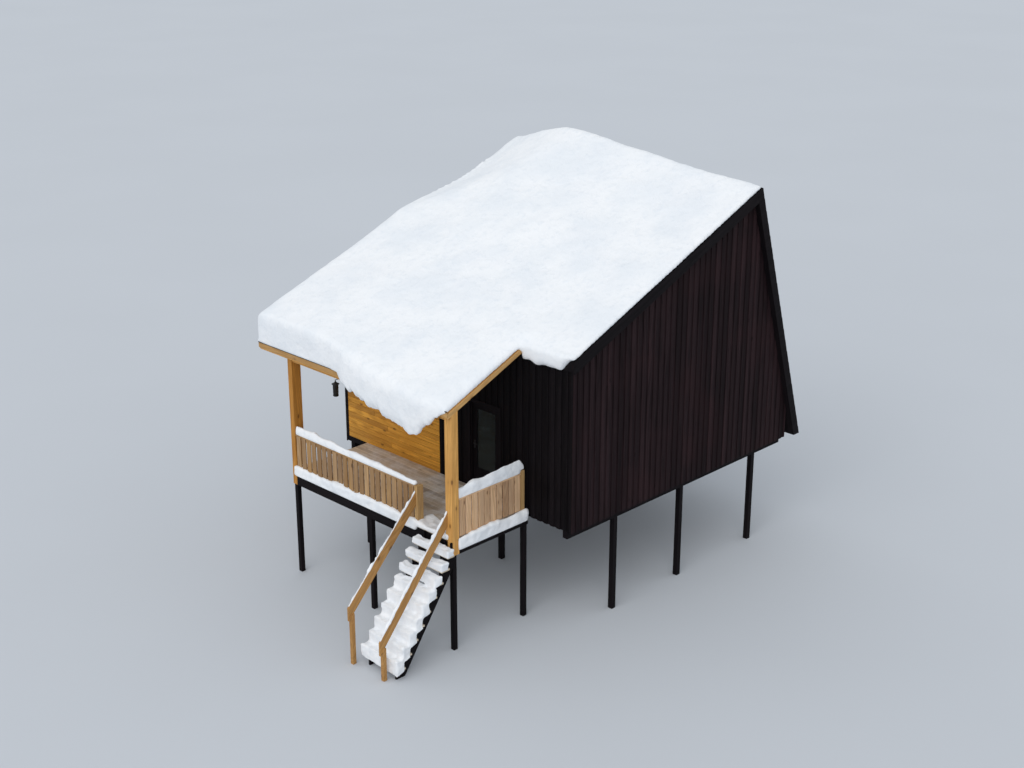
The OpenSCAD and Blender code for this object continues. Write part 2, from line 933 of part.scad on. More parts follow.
function porch_snow_section(y) =
    let (
        z = roof_z(porch_slab_x),
        out = lip_out(y),
        down = lip_down(y),
        high = roof_z(eave_x) + porch_snow_h(eave_x, y) - z
    )
    concat(
        [[low_edge_x, y, roof_z(low_edge_x)], [porch_slab_x, y, z], [snow_face, y, z]],
        [for (p = lip_low) [snow_face - p[0] * out, y, z - p[1] * down]],
        [for (p = lip_high) [snow_face - p[0] * out, y, z + p[1] * high]],
        [for (x = concat([porch_slab_x], between(porch_slab_x, low_edge_x, 6), [low_edge_x]))
            [x, y, roof_z(x) + porch_snow_h(x, y)]]
    );

module porch_roof_snow() {
    ys = spread(porch_y0, porch_y1, 22);
    color("#eef4fa")
        placed()
            loft([for (i = [len(ys) - 1 : -1 : 0]) porch_snow_section(ys[i])]);
}

// Cap of snow with rounded shoulders, drawn across X and standing on z = 0
module snow_cap_outline(width, depth) {
    polygon([
        for (a = [0 : 15 : 180])
            [width / 2 * cos(a), depth * (0.25 + 0.75 * sin(a)) * (a == 0 || a == 180 ? 0 : 1)]
    ]);
}

module snow_cap(length, width, depth) {
    rotate([90, 0, 90])
        linear_extrude(height = length)
            snow_cap_outline(width, depth);
}

snow_gap = 2;

module railing_snow() {
    rail_top = deck_h + rail_h;
    rail_middle = rail_inset + rail_w / 2;
    color("#eef4fa")
        placed() {
            translate([rail_middle, long_rail_y0 + snow_gap, rail_top])
                rotate([0, 0, 90])
                    snow_cap(far_post_y - long_rail_y0 - 2 * snow_gap, cap_w, rail_snow);
            translate([post_w + snow_gap, deck_y0 + rail_middle, rail_top])
                snow_cap(end_rail_l - 2 * snow_gap, cap_w, near_rail_snow);
            translate([end_newel_x, deck_y0 + newel_w / 2, rail_top + newel_rise])
                snow_cap(newel_w, newel_w, near_rail_snow);
        }
}

tread_snow_inset = 10;

module tread_snow() {
    color("#eef4fa")
        placed()
            for (i = [1 : risers - 1])
                translate([-i * going - tread_nose, stair_y0 - tread_over + tread_snow_inset, step_top(i)])
                    cube([going - tread_snow_inset, tread_l - 2 * tread_snow_inset, tread_snow_t]);
}

piers();
girders();
house_floor();
near_gable_wall();
far_gable_wall();
porch_side_wall_near();
porch_side_wall_over_door();
porch_side_wall_far();
steep_side_wall();
wall_lining();
corner_strips();
door_frame();
door_leaf();
door_glass();
low_roof();
steep_roof();
porch_roof();
porch_rafters();
porch_beam();
near_barge_boards();
far_barge_boards();
porch_rake_boards();
porch_fascia();
near_roof_post();
far_roof_post();
deck_rim_boards();
deck_joists();
deck_boards();
deck_posts();
long_railing();
near_railing();
railing_newels();
stringers();
treads();
near_handrail();
far_handrail();
lantern();
house_roof_snow();
porch_roof_snow();
railing_snow();
tread_snow();
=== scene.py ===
"""Boards, shingles, snow, finishes, light and camera for the raised cabin with its porch."""

import math
import random
from functools import cache

import bmesh
import bpy
from bpy.props import FloatProperty, FloatVectorProperty, PointerProperty
from mathutils import Matrix, Vector, noise


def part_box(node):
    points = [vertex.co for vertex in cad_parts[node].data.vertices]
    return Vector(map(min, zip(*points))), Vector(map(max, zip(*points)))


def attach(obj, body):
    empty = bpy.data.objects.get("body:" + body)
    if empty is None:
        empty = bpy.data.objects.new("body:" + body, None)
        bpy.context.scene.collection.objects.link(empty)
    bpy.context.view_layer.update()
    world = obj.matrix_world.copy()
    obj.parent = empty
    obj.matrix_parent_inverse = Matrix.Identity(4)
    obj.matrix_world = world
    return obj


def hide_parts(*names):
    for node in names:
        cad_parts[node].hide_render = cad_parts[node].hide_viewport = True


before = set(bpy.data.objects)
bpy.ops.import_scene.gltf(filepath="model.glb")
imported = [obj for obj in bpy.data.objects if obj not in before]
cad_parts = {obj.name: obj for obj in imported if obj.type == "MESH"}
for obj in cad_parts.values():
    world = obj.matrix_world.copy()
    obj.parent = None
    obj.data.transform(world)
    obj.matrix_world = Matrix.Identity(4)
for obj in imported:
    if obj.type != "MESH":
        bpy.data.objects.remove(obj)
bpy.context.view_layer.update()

bl_info = {
    "name": "Raised cabin with porch",
    "version": (1, 0, 0),
    "blender": (4, 5, 0),
    "location": "View3D > Sidebar > Cabin",
    "description": "Builds the boards, shingles, snow and finishes of a raised timber cabin",
    "category": "Object",
}

X, Y, Z = 0, 1, 2

# Points of a new mesh, and of a CAD mesh, that are closer than this are one
TOUCH, CAD_TOUCH = 1e-5, 1e-4

# Lines of the house, taken from the frame
NEAR_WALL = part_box("near_gable_wall")
WALL_X, HOUSE_X1 = NEAR_WALL[0].x, NEAR_WALL[1].x
NEAR_Y, FAR_Y = NEAR_WALL[0].y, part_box("far_gable_wall")[1].y
FLOOR_H = NEAR_WALL[0].z
CLADDING_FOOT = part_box("house_floor")[0].z - 0.02

# Roof planes
BARGE, STEEP_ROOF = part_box("near_barge_boards"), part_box("steep_roof")
ROOF_Y0, ROOF_Y1 = BARGE[0].y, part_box("far_barge_boards")[1].y
RIDGE_X, RIDGE_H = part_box("house_roof_snow")[1].x, BARGE[1].z
LOW_EDGE_X, LOW_EDGE_H = BARGE[0].x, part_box("porch_rake_boards")[1].z
LOW_RISE = (RIDGE_H - LOW_EDGE_H) / (RIDGE_X - LOW_EDGE_X)
LOW_PITCH = math.atan(LOW_RISE)
LOW_T = LOW_EDGE_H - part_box("low_roof")[0].z
FOOT_X, FOOT_H = STEEP_ROOF[1].x, STEEP_ROOF[0].z
STEEP_RISE = (RIDGE_H - FOOT_H) / (FOOT_X - RIDGE_X)
STEEP_PITCH = math.atan(STEEP_RISE)
STEEP_RUN = (RIDGE_X - STEEP_ROOF[0].x) * (1 + LOW_RISE / STEEP_RISE)

# Porch roof: its boards start at SLAB_X, and the eave board stands EAVE_PROUD over them
SLAB_X, SLAB_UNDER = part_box("porch_roof")[0].x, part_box("porch_roof")[0].z
EAVE_X, PORCH_Y0, PORCH_Y1 = *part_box("porch_fascia")[0].xy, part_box("porch_fascia")[1].y
EAVE_PROUD = 0.07
EAVE_TOP = LOW_EDGE_H - LOW_RISE * (LOW_EDGE_X - SLAB_X) + EAVE_PROUD
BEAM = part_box("porch_beam")

# Deck, railings and stairs
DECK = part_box("deck_boards")
DECK_H = DECK[1].z
NEAR_POST, FAR_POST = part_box("near_roof_post"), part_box("far_roof_post")
LONG_RAIL, NEAR_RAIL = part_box("long_railing"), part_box("near_railing")
RAILING_BOARD_T = 0.028
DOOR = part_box("door_frame")
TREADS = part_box("treads")
RISE = DECK_H - TREADS[1].z
GOING = (DECK[0].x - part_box("stringers")[0].x) / (round(DECK_H / RISE) - 1)
STAIR_ANGLE = math.atan2(RISE, GOING)

# Height of each handrail's top at its lower end
HANDRAILS = {"near_handrail": 0.95, "far_handrail": 1.40}

# Camera that sees the cabin as the photo does, turned by degrees about X, Y and Z
CAMERA_AT, CAMERA_TURN, LENS = (-25.619, -25.314, 18.015), (69.461, 0, -45.338), 56.217


def roof_z(x):
    """Height of the low slope's top at x."""
    return RIDGE_H - LOW_RISE * (RIDGE_X - x)


def handrail_rise(node):
    """Rise of a handrail for each metre along X, from the height of its top at its lower end."""
    low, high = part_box(node)
    return (high.z - HANDRAILS[node]) / (DECK[0].x - low.x)


def held(value):
    """A value held between 0 and 1."""
    return max(0.0, min(1.0, value))


def number(name, words, value):
    return FloatProperty(name=name, description=words, default=value, unit="LENGTH")


def share(name, words, value):
    return FloatProperty(name=name, description=words, default=value, subtype="FACTOR")


def colour(name, words, value):
    return FloatVectorProperty(
        name=name, description=words, default=value, subtype="COLOR", size=3, min=0, max=1
    )


class CabinSizes(bpy.types.PropertyGroup):
    """Sizes of the boards and shingles"""

    cladding_pitch: number("Cladding pitch", "Distance from one outer wall board to the next", 0.196)
    cladding_w: number("Outer board width", "Width of the outer wall boards", 0.118)
    cladding_t: number("Outer board thickness", "How far the outer wall boards stand proud", 0.02)
    under_t: number("Inner board thickness", "How far the inner wall boards stand proud", 0.005)
    lining_w: number("Lining board", "Height of a lining board", 0.135)
    deck_board_w: number("Deck board", "Width of a deck board", 0.14)
    soffit_w: number("Soffit board", "Width of a porch ceiling board", 0.115)
    board_gap: number("Board gap", "Gap between two boards", 0.006)
    shingle_w: number("Shingle width", "Width of a shingle tab", 0.3)
    shingle_course: number("Shingle course", "Length of a shingle that shows", 0.165)
    shingle_t: number("Shingle butt", "Thickness of a shingle at its lower edge", 0.011)
    eave_board_h: number("Eave board", "Height of the porch's eave board", 0.14)
    beam_h: number("Eave beam", "Height of the beam behind the porch's eave board", 0.085)
    post_board_t: number("Post board", "Thickness of the board on each roof post's inner side", 0.065)
    worn_edge: number("Worn edge", "Width of the rounding on sawn edges", 0.006)


class CabinSnow(bpy.types.PropertyGroup):
    """Sizes of the snow"""

    roof_cell: number("Roof snow cell", "Fineness of the roof snow's surface", 0.05)
    small_cell: number("Small snow cell", "Fineness of the snow on rails and steps", 0.02)
    roof_swell: number("Roof swell", "Height of the roof snow's broad swells", 0.05)
    roof_lumps: number("Roof lumps", "Height of the roof snow's small lumps", 0.012)
    lobe_h: number("Corner lobe", "How far snow hangs over the low corner of the main roof", 0.31)
    lip_l: number("Lip length", "Length of the porch eave that snow curls over", 3.5)
    rim_h: number("Deck edge snow", "Height of the snow along the deck's outer edge", 0.15)
    rim_out: number("Deck edge bulge", "How far that snow bulges past the deck", 0.06)
    tread_over: number("Tread bulge", "How far the snow bulges past a tread", 0.035)
    step_growth: number("Step growth", "How much deeper the snow is on the lower steps", 0.075)
    long_growth: share("Long railing growth", "Share by which its snow rises away from the stairs", 1.0)
    near_growth: share("Near railing growth", "Share by which its snow rises towards the wall", 0.35)
    strip_h: number("Handrail snow", "Height of the snow on the handrails' upper edges", 0.05)
    strip_w: number("Handrail snow width", "Width of that snow", 0.042)


class CabinColours(bpy.types.PropertyGroup):
    """Main colours of the finishes"""

    gable: colour("Gable", "Brown-black stain of the gables", (0.021, 0.0115, 0.0135))
    black: colour("Black stain", "Black stain of walls, trim and floor framing", (0.0065, 0.005, 0.0062))
    lining: colour("Lining", "Oiled boards of the porch wall", (0.95, 0.46, 0.06))
    post: colour("Posts", "Oiled pine of posts and beams", (0.78, 0.42, 0.12))
    # Painted shade: the far post's pine is painted darker and deeper orange than the near post's, for the
    # shade it stands in
    far_post: colour("Far post", "Deeper oiled pine of the sheltered far post", (0.55, 0.25, 0.045))
    newel: colour("Newels", "Browner pine of the railing newels", (0.55, 0.33, 0.11))
    trim: colour("Eaves", "Paler pine of the porch's eave boards", (0.70, 0.42, 0.16))
    railing: colour("Railing", "Weathered pine of the long railing", (0.52, 0.31, 0.125))
    near_railing: colour("Near railing", "Paler pine of the near railing", (0.82, 0.53, 0.30))
    handrail: colour("Handrails", "Pine of the stair handrails", (0.52, 0.28, 0.09))
    deck: colour("Deck", "Grey weathered deck boards", (0.85, 0.74, 0.57))
    roofing: colour("Shingles", "Dark brown shingles", (0.035, 0.028, 0.032))
    metal: colour("Metal", "Black painted metal", (0.010, 0.010, 0.011))
    snow: colour("Snow", "Fresh snow", (0.91, 0.92, 0.94))
    ground: colour("Ground", "Plain pale floor", (0.60, 0.625, 0.665))


def sizes():
    return bpy.context.scene.cabin_sizes


def snows():
    return bpy.context.scene.cabin_snow


def colours():
    return bpy.context.scene.cabin_colours


class Wire:
    """A node's socket that takes part in plain sums; each sum adds its Math node."""

    def __init__(self, finish, socket):
        self.finish, self.socket = finish, socket

    def math(self, how, first, second):
        return self.finish.node("ShaderNodeMath", {"operation": how}, {0: first, 1: second})

    def __add__(self, other):
        return self.math("ADD", self, other)

    __radd__ = __add__

    def __sub__(self, other):
        return self.math("SUBTRACT", self, other)

    def __rsub__(self, other):
        return self.math("SUBTRACT", other, self)

    def __mul__(self, other):
        return self.math("MULTIPLY", self, other)

    __rmul__ = __mul__

    def fold(self, width):
        """Runs up and down between 0 and width."""
        return self.math("PINGPONG", self, width)


class Finish:
    """A material under way: its nodes, its shader and the patterns that feed it."""

    def __init__(self, name, **fixed):
        self.material = bpy.data.materials.new(name)
        self.material.use_nodes = True
        self.tree = self.material.node_tree
        self.tree.nodes.clear()
        self.shader = self.tree.nodes.new("ShaderNodeBsdfPrincipled")
        out = self.tree.nodes.new("ShaderNodeOutputMaterial")
        self.tree.links.new(self.shader.outputs[0], out.inputs["Surface"])
        for socket, value in fixed.items():
            self.shader.inputs[socket.replace("_", " ")].default_value = value

    def node(self, kind, settings=None, values=None, output=0):
        """Adds a node, sets it up, feeds its sockets and gives one of its outputs."""
        made = self.tree.nodes.new(kind)
        for key, value in (settings or {}).items():
            setattr(made, key, value)
        for key, value in (values or {}).items():
            self.feed(made.inputs[key], value)
        return Wire(self, made.outputs[output])

    def feed(self, socket, value):
        if isinstance(value, Wire):
            self.tree.links.new(value.socket, socket)
        else:
            socket.default_value = (*value, 1) if socket.type == "RGBA" else value

    def places(self, scale=(1, 1, 1), tilt=0.0):
        """Object coordinates, tilted about Y and then scaled."""
        at = self.node("ShaderNodeTexCoord", output=3)
        if tilt:
            at = self.node("ShaderNodeMapping", None, {"Vector": at, "Rotation": (0, tilt, 0)})
        return self.node("ShaderNodeMapping", None, {"Vector": at, "Scale": scale})

    def cloud(self, at, scale, detail=2.0, rough=0.5, twist=0.0):
        """Noise around 0.5."""
        values = {"Vector": at, "Scale": scale, "Detail": detail, "Roughness": rough, "Distortion": twist}
        return self.node("ShaderNodeTexNoise", None, values)

    def cells(self, at, scale):
        """Distance to the nearest of scattered points."""
        return self.node("ShaderNodeTexVoronoi", None, {"Vector": at, "Scale": scale})

    def smooth(self, value, low, high, to_low=0.0, to_high=1.0):
        """Eases value from one range into another."""
        values = {"Value": value, "From Min": low, "From Max": high, "To Min": to_low, "To Max": to_high}
        return self.node("ShaderNodeMapRange", {"interpolation_type": "SMOOTHSTEP"}, values)

    def blend(self, share, first, second, how="MIX"):
        """Colour between two colours, which are the node's sockets 6 and 7."""
        settings = {"data_type": "RGBA", "blend_type": how}
        return self.node("ShaderNodeMix", settings, {0: share, 6: first, 7: second}, 2)

    def over(self, body, pattern, low, high, tone, share=1.0):
        """Lays a share of a colour over the body where a pattern goes from low to high."""
        mask = self.smooth(pattern, low, high)
        return self.blend(mask if share == 1.0 else mask * share, body, tone)

    def tone(self):
        """Tone of the board or shingle, from the piece's own attribute."""
        settings = {"attribute_name": "tone", "attribute_type": "GEOMETRY"}
        return self.node("ShaderNodeAttribute", settings, output=2)

    def dents(self, height, strength, depth):
        """Bump of that many metres."""
        values = {"Strength": strength, "Distance": depth, "Height": height}
        return self.node("ShaderNodeBump", None, values)

    def done(self, base, roughness, normal=None):
        """Feeds the shader and gives the material."""
        for socket, value in (("Base Color", base), ("Roughness", roughness), ("Normal", normal)):
            if value is not None:
                self.feed(self.shader.inputs[socket], value)
        return self.material


def shade(tone, by, warm=1.0):
    """A colour made darker or lighter, and warmer."""
    return (min(1, tone[0] * by * warm), min(1, tone[1] * by), min(1, tone[2] * by / warm))


def timber(name, axis, tilt, gloss, stretch, knots):
    """A finish under way and its colour, plain and stretched coordinates and distance to its knots."""
    finish = Finish(f"{name}_{'xyz'[axis]}_{round(math.degrees(tilt))}", Specular_IOR_Level=gloss)
    scales = ([share if i == axis else 1.0 for i in range(3)] for share in (1.0, stretch, 0.45))
    plain, along, knotty = (finish.places(scale, tilt) for scale in scales)
    return finish, getattr(colours(), name), plain, along, finish.cells(knotty, knots)


@cache
def pine(name, axis, tilt=0.0, grey=0.0, knots=1.0, frost=0.0):
    """Oiled or weathered pine with its grain along an axis, with patches of frost where asked."""
    finish, light, plain, along, knot = timber(name, axis, tilt, 0.3, 0.06, 4.6)
    rings = finish.smooth((finish.cloud(along, 2.6, 1.0) * 22).fold(0.5), 0.06, 0.42)
    fibre = finish.cloud(along, 95.0, 3.0, 0.7)
    streak = finish.cloud(along, 13.0, 3.0, 0.6)
    damp = finish.smooth(finish.cloud(plain, 1.1, 3.0, 0.55), 0.42, 0.72)
    eye = finish.smooth(knot, 0.07, 0.15, 1.0, 0.0) * knots
    halo = finish.smooth(knot, 0.1, 0.3, 1.0, 0.0) * knots

    body = finish.blend(rings, shade(light, 0.70, 1.06), shade(light, 1.06))
    body = finish.over(body, streak, 0.35, 0.72, shade(light, 0.78, 1.03))
    body = finish.over(body, fibre, 0.4, 0.75, shade(light, 0.52, 1.06), 0.45)
    body = finish.blend(damp * 0.55, body, shade(light, 0.62, 1.10))
    if grey:
        body = finish.over(body, finish.cloud(along, 4.0, 4.0, 0.65), 0.3, 0.62, (0.58, 0.53, 0.47), grey)
    body = finish.blend(finish.tone(), body, finish.blend(1.0, body, (0.52, 0.47, 0.44), "MULTIPLY"))
    body = finish.blend(halo * 0.35, body, shade(light, 0.45, 1.15))
    body = finish.blend(eye * 0.8, body, shade(light, 0.16, 1.25))
    if frost:
        body = finish.over(body, finish.cloud(plain, 2.2, 5.0, 0.65), 0.38, 0.66, (0.80, 0.81, 0.84), frost)
    rough = 0.52 + fibre * 0.22 + damp * 0.12 - eye * 0.1
    height = fibre * 0.5 + rings * 0.3 + streak * 0.4 - eye * 0.4
    return finish.done(body, rough, finish.dents(height, 0.55, 0.004))


@cache
def stain(name, axis, tilt=0.0, fade=0.5):
    """Dark stained boards with their grain along an axis, faded in streaks where rain runs."""
    finish, base, plain, along, knot = timber(name, axis, tilt, 0.07, 0.05, 3.8)
    fibre = finish.cloud(along, 85.0, 4.0, 0.7)
    streak = finish.cloud(along, 7.0, 4.0, 0.6)
    rings = finish.smooth((finish.cloud(along, 2.4, 1.0) * 18).fold(0.5), 0.05, 0.4)
    wear = finish.smooth(finish.cloud(plain, 0.55, 4.0, 0.55), 0.46, 0.7)
    eye = finish.smooth(knot, 0.06, 0.12, 1.0, 0.0)

    body = finish.blend(rings, shade(base, 0.72), shade(base, 1.12))
    body = finish.over(body, streak, 0.42, 0.72, shade(base, 1.95, 1.04), fade)
    body = finish.over(body, fibre, 0.45, 0.75, shade(base, 0.38), 0.6)
    body = finish.blend(wear * fade, body, shade(base, 1.75, 1.06))
    body = finish.blend(finish.tone(), body, finish.blend(1.0, body, (0.42, 0.40, 0.42), "MULTIPLY"))
    body = finish.blend(eye * 0.6, body, shade(base, 0.35))
    rough = 0.5 + fibre * 0.25 + wear * 0.15
    height = fibre * 0.6 + rings * 0.3 + streak * 0.3 - eye * 0.4
    return finish.done(body, rough, finish.dents(height, 0.6, 0.004))


@cache
def shingle():
    """Mineral-faced shingles, each a little different, with darker damp streaks."""
    base = colours().roofing
    finish = Finish("roofing", Specular_IOR_Level=0.25)
    plain = finish.places()
    speck = finish.cloud(plain, 120.0, 3.0, 0.7)
    damp = finish.cloud(finish.places((1.0, 1.6, 0.35)), 1.1, 4.0, 0.6)
    body = finish.blend(finish.tone(), shade(base, 0.72), shade(base, 1.5, 1.06))
    body = finish.over(body, speck, 0.45, 0.72, shade(base, 3.0, 0.98), 0.55)
    body = finish.over(body, damp, 0.45, 0.7, shade(base, 0.5), 0.55)
    height = finish.smooth(finish.cells(plain, 330.0), 0.0, 0.6) + speck * 0.6
    return finish.done(body, 0.78 + speck * 0.15, finish.dents(height, 0.5, 0.003))


@cache
def snow_finish():
    """Settled snow: painted blue-grey shade in wide and small patches and in specks, with grains and small
    dents.
    """
    base = colours().snow
    finish = Finish("snow", Specular_IOR_Level=0.35)
    plain = finish.places()
    broad_bump_and_shade = finish.cloud(plain, 0.9, 4.0, 0.5)
    dimple_bump_and_shade = finish.cloud(plain, 7.0, 4.0, 0.55, 0.4)
    grains = finish.cloud(plain, 160.0, 3.0, 0.7)
    crumb_shade = finish.smooth(finish.cells(plain, 26.0), 0.0, 0.16, 1.0, 0.0)
    # Painted shade: the snow turns a darker blue-grey in wide and small noise patches and at scattered
    # specks
    body = finish.over(base, broad_bump_and_shade, 0.35, 0.7, shade(base, 0.92, 0.97), 0.75)
    body = finish.over(body, dimple_bump_and_shade, 0.48, 0.75, shade(base, 0.86, 0.95), 0.4)
    body = finish.blend(crumb_shade * 0.12, body, shade(base, 0.8, 0.96))
    height = broad_bump_and_shade * 2.4 + dimple_bump_and_shade * 0.8 + grains * 0.05
    return finish.done(body, 0.55 + grains * 0.25, finish.dents(height, 0.7, 0.04))


@cache
def painted_metal():
    """Black painted metal with brown pits and dull patches."""
    base = colours().metal
    gloss = {"Metallic": 0.35, "Specular_IOR_Level": 0.5, "Coat_Weight": 0.15, "Coat_Roughness": 0.3}
    finish = Finish("black_metal", **gloss)
    plain = finish.places()
    pits = finish.cloud(plain, 160.0, 3.0, 0.6)
    dull = finish.cloud(plain, 14.0, 3.0, 0.6)
    body = finish.over(base, dull, 0.5, 0.75, shade(base, 3.2, 1.05), 0.5)
    body = finish.over(body, pits, 0.62, 0.75, (0.06, 0.035, 0.02), 0.4)
    return finish.done(body, 0.38 + dull * 0.3, finish.dents(pits, 0.3, 0.0015))


@cache
def pane(name, tint_and_shade, see_through):
    """Glass with faint waves and dusty streaks."""
    finish = Finish(name, Transmission_Weight=see_through, IOR=1.25)
    plain = finish.places((1.0, 1.0, 0.35))
    dust = finish.smooth(finish.cloud(plain, 32.0, 4.0, 0.65), 0.5, 0.8)
    body = finish.blend(dust * 0.4, tint_and_shade, shade(tint_and_shade, 0.6))
    return finish.done(body, 0.04 + dust * 0.22, finish.dents(finish.cloud(plain, 5.0, 1.0), 0.15, 0.003))


def tone_layer(bm):
    return bm.verts.layers.float.get("tone") or bm.verts.layers.float.new("tone")


def board_mesh():
    bm = bmesh.new()
    tone_layer(bm)
    return bm


def dress(bm, verts, tone=0.0, finish=0):
    """Gives some vertices their tone and their faces one of the piece's finishes."""
    layer = tone_layer(bm)
    for v in verts:
        v[layer] = tone
    for face in {f for v in verts for f in v.link_faces}:
        face.material_index = finish


def put_cube(bm, place, tone, finish=0):
    """A cube of one metre, placed and stretched by a matrix, with a tone of its own."""
    tone_layer(bm)
    made = bmesh.ops.create_cube(bm, size=1.0, matrix=place)["verts"]
    dress(bm, made, tone, finish)
    return made


def put_box(bm, low, high, tone=0.0, finish=0):
    """A box between two corners."""
    low, high = Vector(low), Vector(high)
    place = Matrix.Translation((low + high) / 2) @ Matrix.Diagonal((*(high - low), 1.0))
    return put_cube(bm, place, tone, finish)


def as_mesh(bm, name):
    mesh = bpy.data.meshes.new(name)
    bm.to_mesh(mesh)
    bm.free()
    return mesh


def in_scene(data):
    """A new object in the scene, named as its data."""
    made = bpy.data.objects.new(data.name, data)
    bpy.context.scene.collection.objects.link(made)
    return made


def copy_of(node):
    """A merged copy of a CAD node's mesh."""
    bm = bmesh.new()
    bm.from_mesh(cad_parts[node].data)
    bmesh.ops.remove_doubles(bm, verts=bm.verts[:], dist=CAD_TOUCH)
    return bm


def round_edges(bm, width, segments=1):
    bmesh.ops.bevel(
        bm, geom=bm.edges[:], offset=width, offset_type="OFFSET", segments=segments, profile=0.5,
        affect="EDGES", material=-1, clamp_overlap=True,
    )


def cut_above(bm, point, normal):
    """Takes away what lies beyond a plane and closes the boards there."""
    whole = bm.verts[:] + bm.edges[:] + bm.faces[:]
    cut = bmesh.ops.bisect_plane(
        bm, geom=whole, dist=TOUCH, plane_co=point, plane_no=normal, clear_outer=True
    )
    edges = [e for e in cut["geom_cut"] if isinstance(e, bmesh.types.BMEdge) and e.is_valid]
    bmesh.ops.holes_fill(bm, edges=edges, sides=0)


def cut_to_roof(bm):
    """Cuts wall boards to the undersides of the two slopes."""
    cut_above(bm, (RIDGE_X, 0, RIDGE_H - LOW_T), (-math.sin(LOW_PITCH), 0, math.cos(LOW_PITCH)))
    cut_above(bm, (RIDGE_X - STEEP_RUN, 0, RIDGE_H), (math.sin(STEEP_PITCH), 0, math.cos(STEEP_PITCH)))


def settle_piece(bm, name, finishes, replaces=(), smooth=False, edge=0.0):
    """Makes the mesh a piece that rides on the cabin, with its edges rounded where asked."""
    if edge:
        round_edges(bm, edge)
    bmesh.ops.recalc_face_normals(bm, faces=bm.faces[:])
    piece = in_scene(as_mesh(bm, name))
    for finish in finishes:
        piece.data.materials.append(finish)
    for face in piece.data.polygons:
        face.use_smooth = smooth
    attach(piece, "root")
    if replaces:
        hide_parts(*replaces)


def split_run(rng, low, high, longest, gap=0.003):
    """Ends of the boards that make up one long run."""
    ends, at = [], low
    while high - at > longest:
        board = rng.uniform(0.45, 0.9) * longest
        ends.append((at, at + board))
        at += board + gap
    ends.append((at, high))
    return ends


def evenly(run, size):
    """How many pieces of about that size fill a run, and their exact pitch."""
    count = round(run / size)
    return count, run / count


def wall_boards(name, finish, faces, face, out, stretches, seed):
    """Upright boards on a wall that faces out, -1 or 1, along X or Y, in (low, high, foot) stretches."""
    bm, rng = board_mesh(), random.Random(seed)
    low, high = min(s[0] for s in stretches), max(s[1] for s in stretches)
    (count, pitch), half = evenly(high - low, sizes().cladding_pitch), sizes().cladding_w / 2
    uneven, inner_foot, lap, least = 0.006, 0.004, 0.02, 0.01

    def board(a, b, foot, proud, tone):
        spans = {faces: sorted((face, face + out * proud)), 1 - faces: (a, b), Z: (foot, RIDGE_H + 0.1)}
        put_box(bm, *zip(spans[X], spans[Y], spans[Z]), tone)

    for i in range(count + 1):
        middle, tone = low + i * pitch, rng.random()
        left, right = max(low, middle - half), min(high, middle + half)
        for start, end, foot in stretches:
            a, b = max(left, start), min(right, end)
            if b - a > least:
                board(a, b, foot + rng.uniform(-uneven, uneven), sizes().cladding_t, tone * 0.9)
            a, b = max(right - lap, start), min(middle + pitch - half + lap, end)
            if b - a > least and i < count:
                board(a, b, foot + inner_foot, sizes().under_t, 0.35 + tone * 0.5)
    cut_to_roof(bm)
    settle_piece(bm, name, [finish], edge=0.003)


class CABIN_OT_cladding(bpy.types.Operator):
    """Builds the upright boards of the gables and side walls"""

    bl_idname = "cabin.cladding"
    bl_label = "Wall boards"

    def execute(self, context):
        brown, black, edge = stain("gable", Z, fade=0.6), stain("black", Z), sizes().cladding_t
        gable = [(WALL_X - edge, HOUSE_X1 + edge, CLADDING_FOOT)]
        wall_boards("near_gable_boards", brown, Y, NEAR_Y, -1, gable, 11)
        wall_boards("far_gable_boards", brown, Y, FAR_Y, 1, gable, 12)
        porch = [
            (NEAR_Y, DECK[0].y, CLADDING_FOOT),
            (DECK[0].y, DOOR[0].y, DECK_H),
            (DOOR[0].y, DOOR[1].y, DOOR[1].z),
            (DOOR[1].y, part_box("corner_strips")[0].y, DECK_H),
        ]
        wall_boards("porch_wall_boards", black, X, WALL_X, -1, porch, 13)
        side = [(NEAR_Y, FAR_Y, CLADDING_FOOT)]
        wall_boards("steep_side_boards", black, X, HOUSE_X1, 1, side, 14)
        return {"FINISHED"}


def wall_lining(rng):
    """Level boards, over a backing that shows dark in the gaps."""
    bm, height, behind = board_mesh(), sizes().lining_w, 0.012
    low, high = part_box("wall_lining")
    for i in range(math.ceil((high.z - low.z) / height)):
        z0, z1 = low.z + i * height, min(low.z + (i + 1) * height - sizes().board_gap, high.z)
        for a, b in split_run(rng, low.y, high.y, longest=2.6):
            put_box(bm, (low.x, a, z0), (high.x, b, z1), rng.random() ** 1.5 * 0.75)
    put_box(bm, (low.x + behind, low.y, low.z), high, 1.0)
    cut_to_roof(bm)
    settle_piece(bm, "porch_wall_lining", [pine("lining", Y)], ["wall_lining"], edge=0.005)


def ceiling_boards(rng):
    """Boards under the porch roof, laid level and then tilted with the slope."""
    bm, half_gap, thick, inset = board_mesh(), sizes().board_gap / 2, 0.009, 0.03
    count, step = evenly((LOW_EDGE_X - SLAB_X) / math.cos(LOW_PITCH), sizes().soffit_w)
    for i in range(count):
        for a, b in split_run(rng, PORCH_Y0 + inset, PORCH_Y1 - inset, longest=3.4):
            low, high = (i * step + half_gap, a, -thick), ((i + 1) * step - half_gap, b, 0)
            put_box(bm, low, high, rng.random() * 0.7)
    slope = Matrix.Translation((SLAB_X, 0, SLAB_UNDER)) @ Matrix.Rotation(-LOW_PITCH, 4, "Y")
    bmesh.ops.transform(bm, matrix=slope, verts=bm.verts[:])
    settle_piece(bm, "porch_ceiling_boards", [pine("post", Y)], edge=0.002)


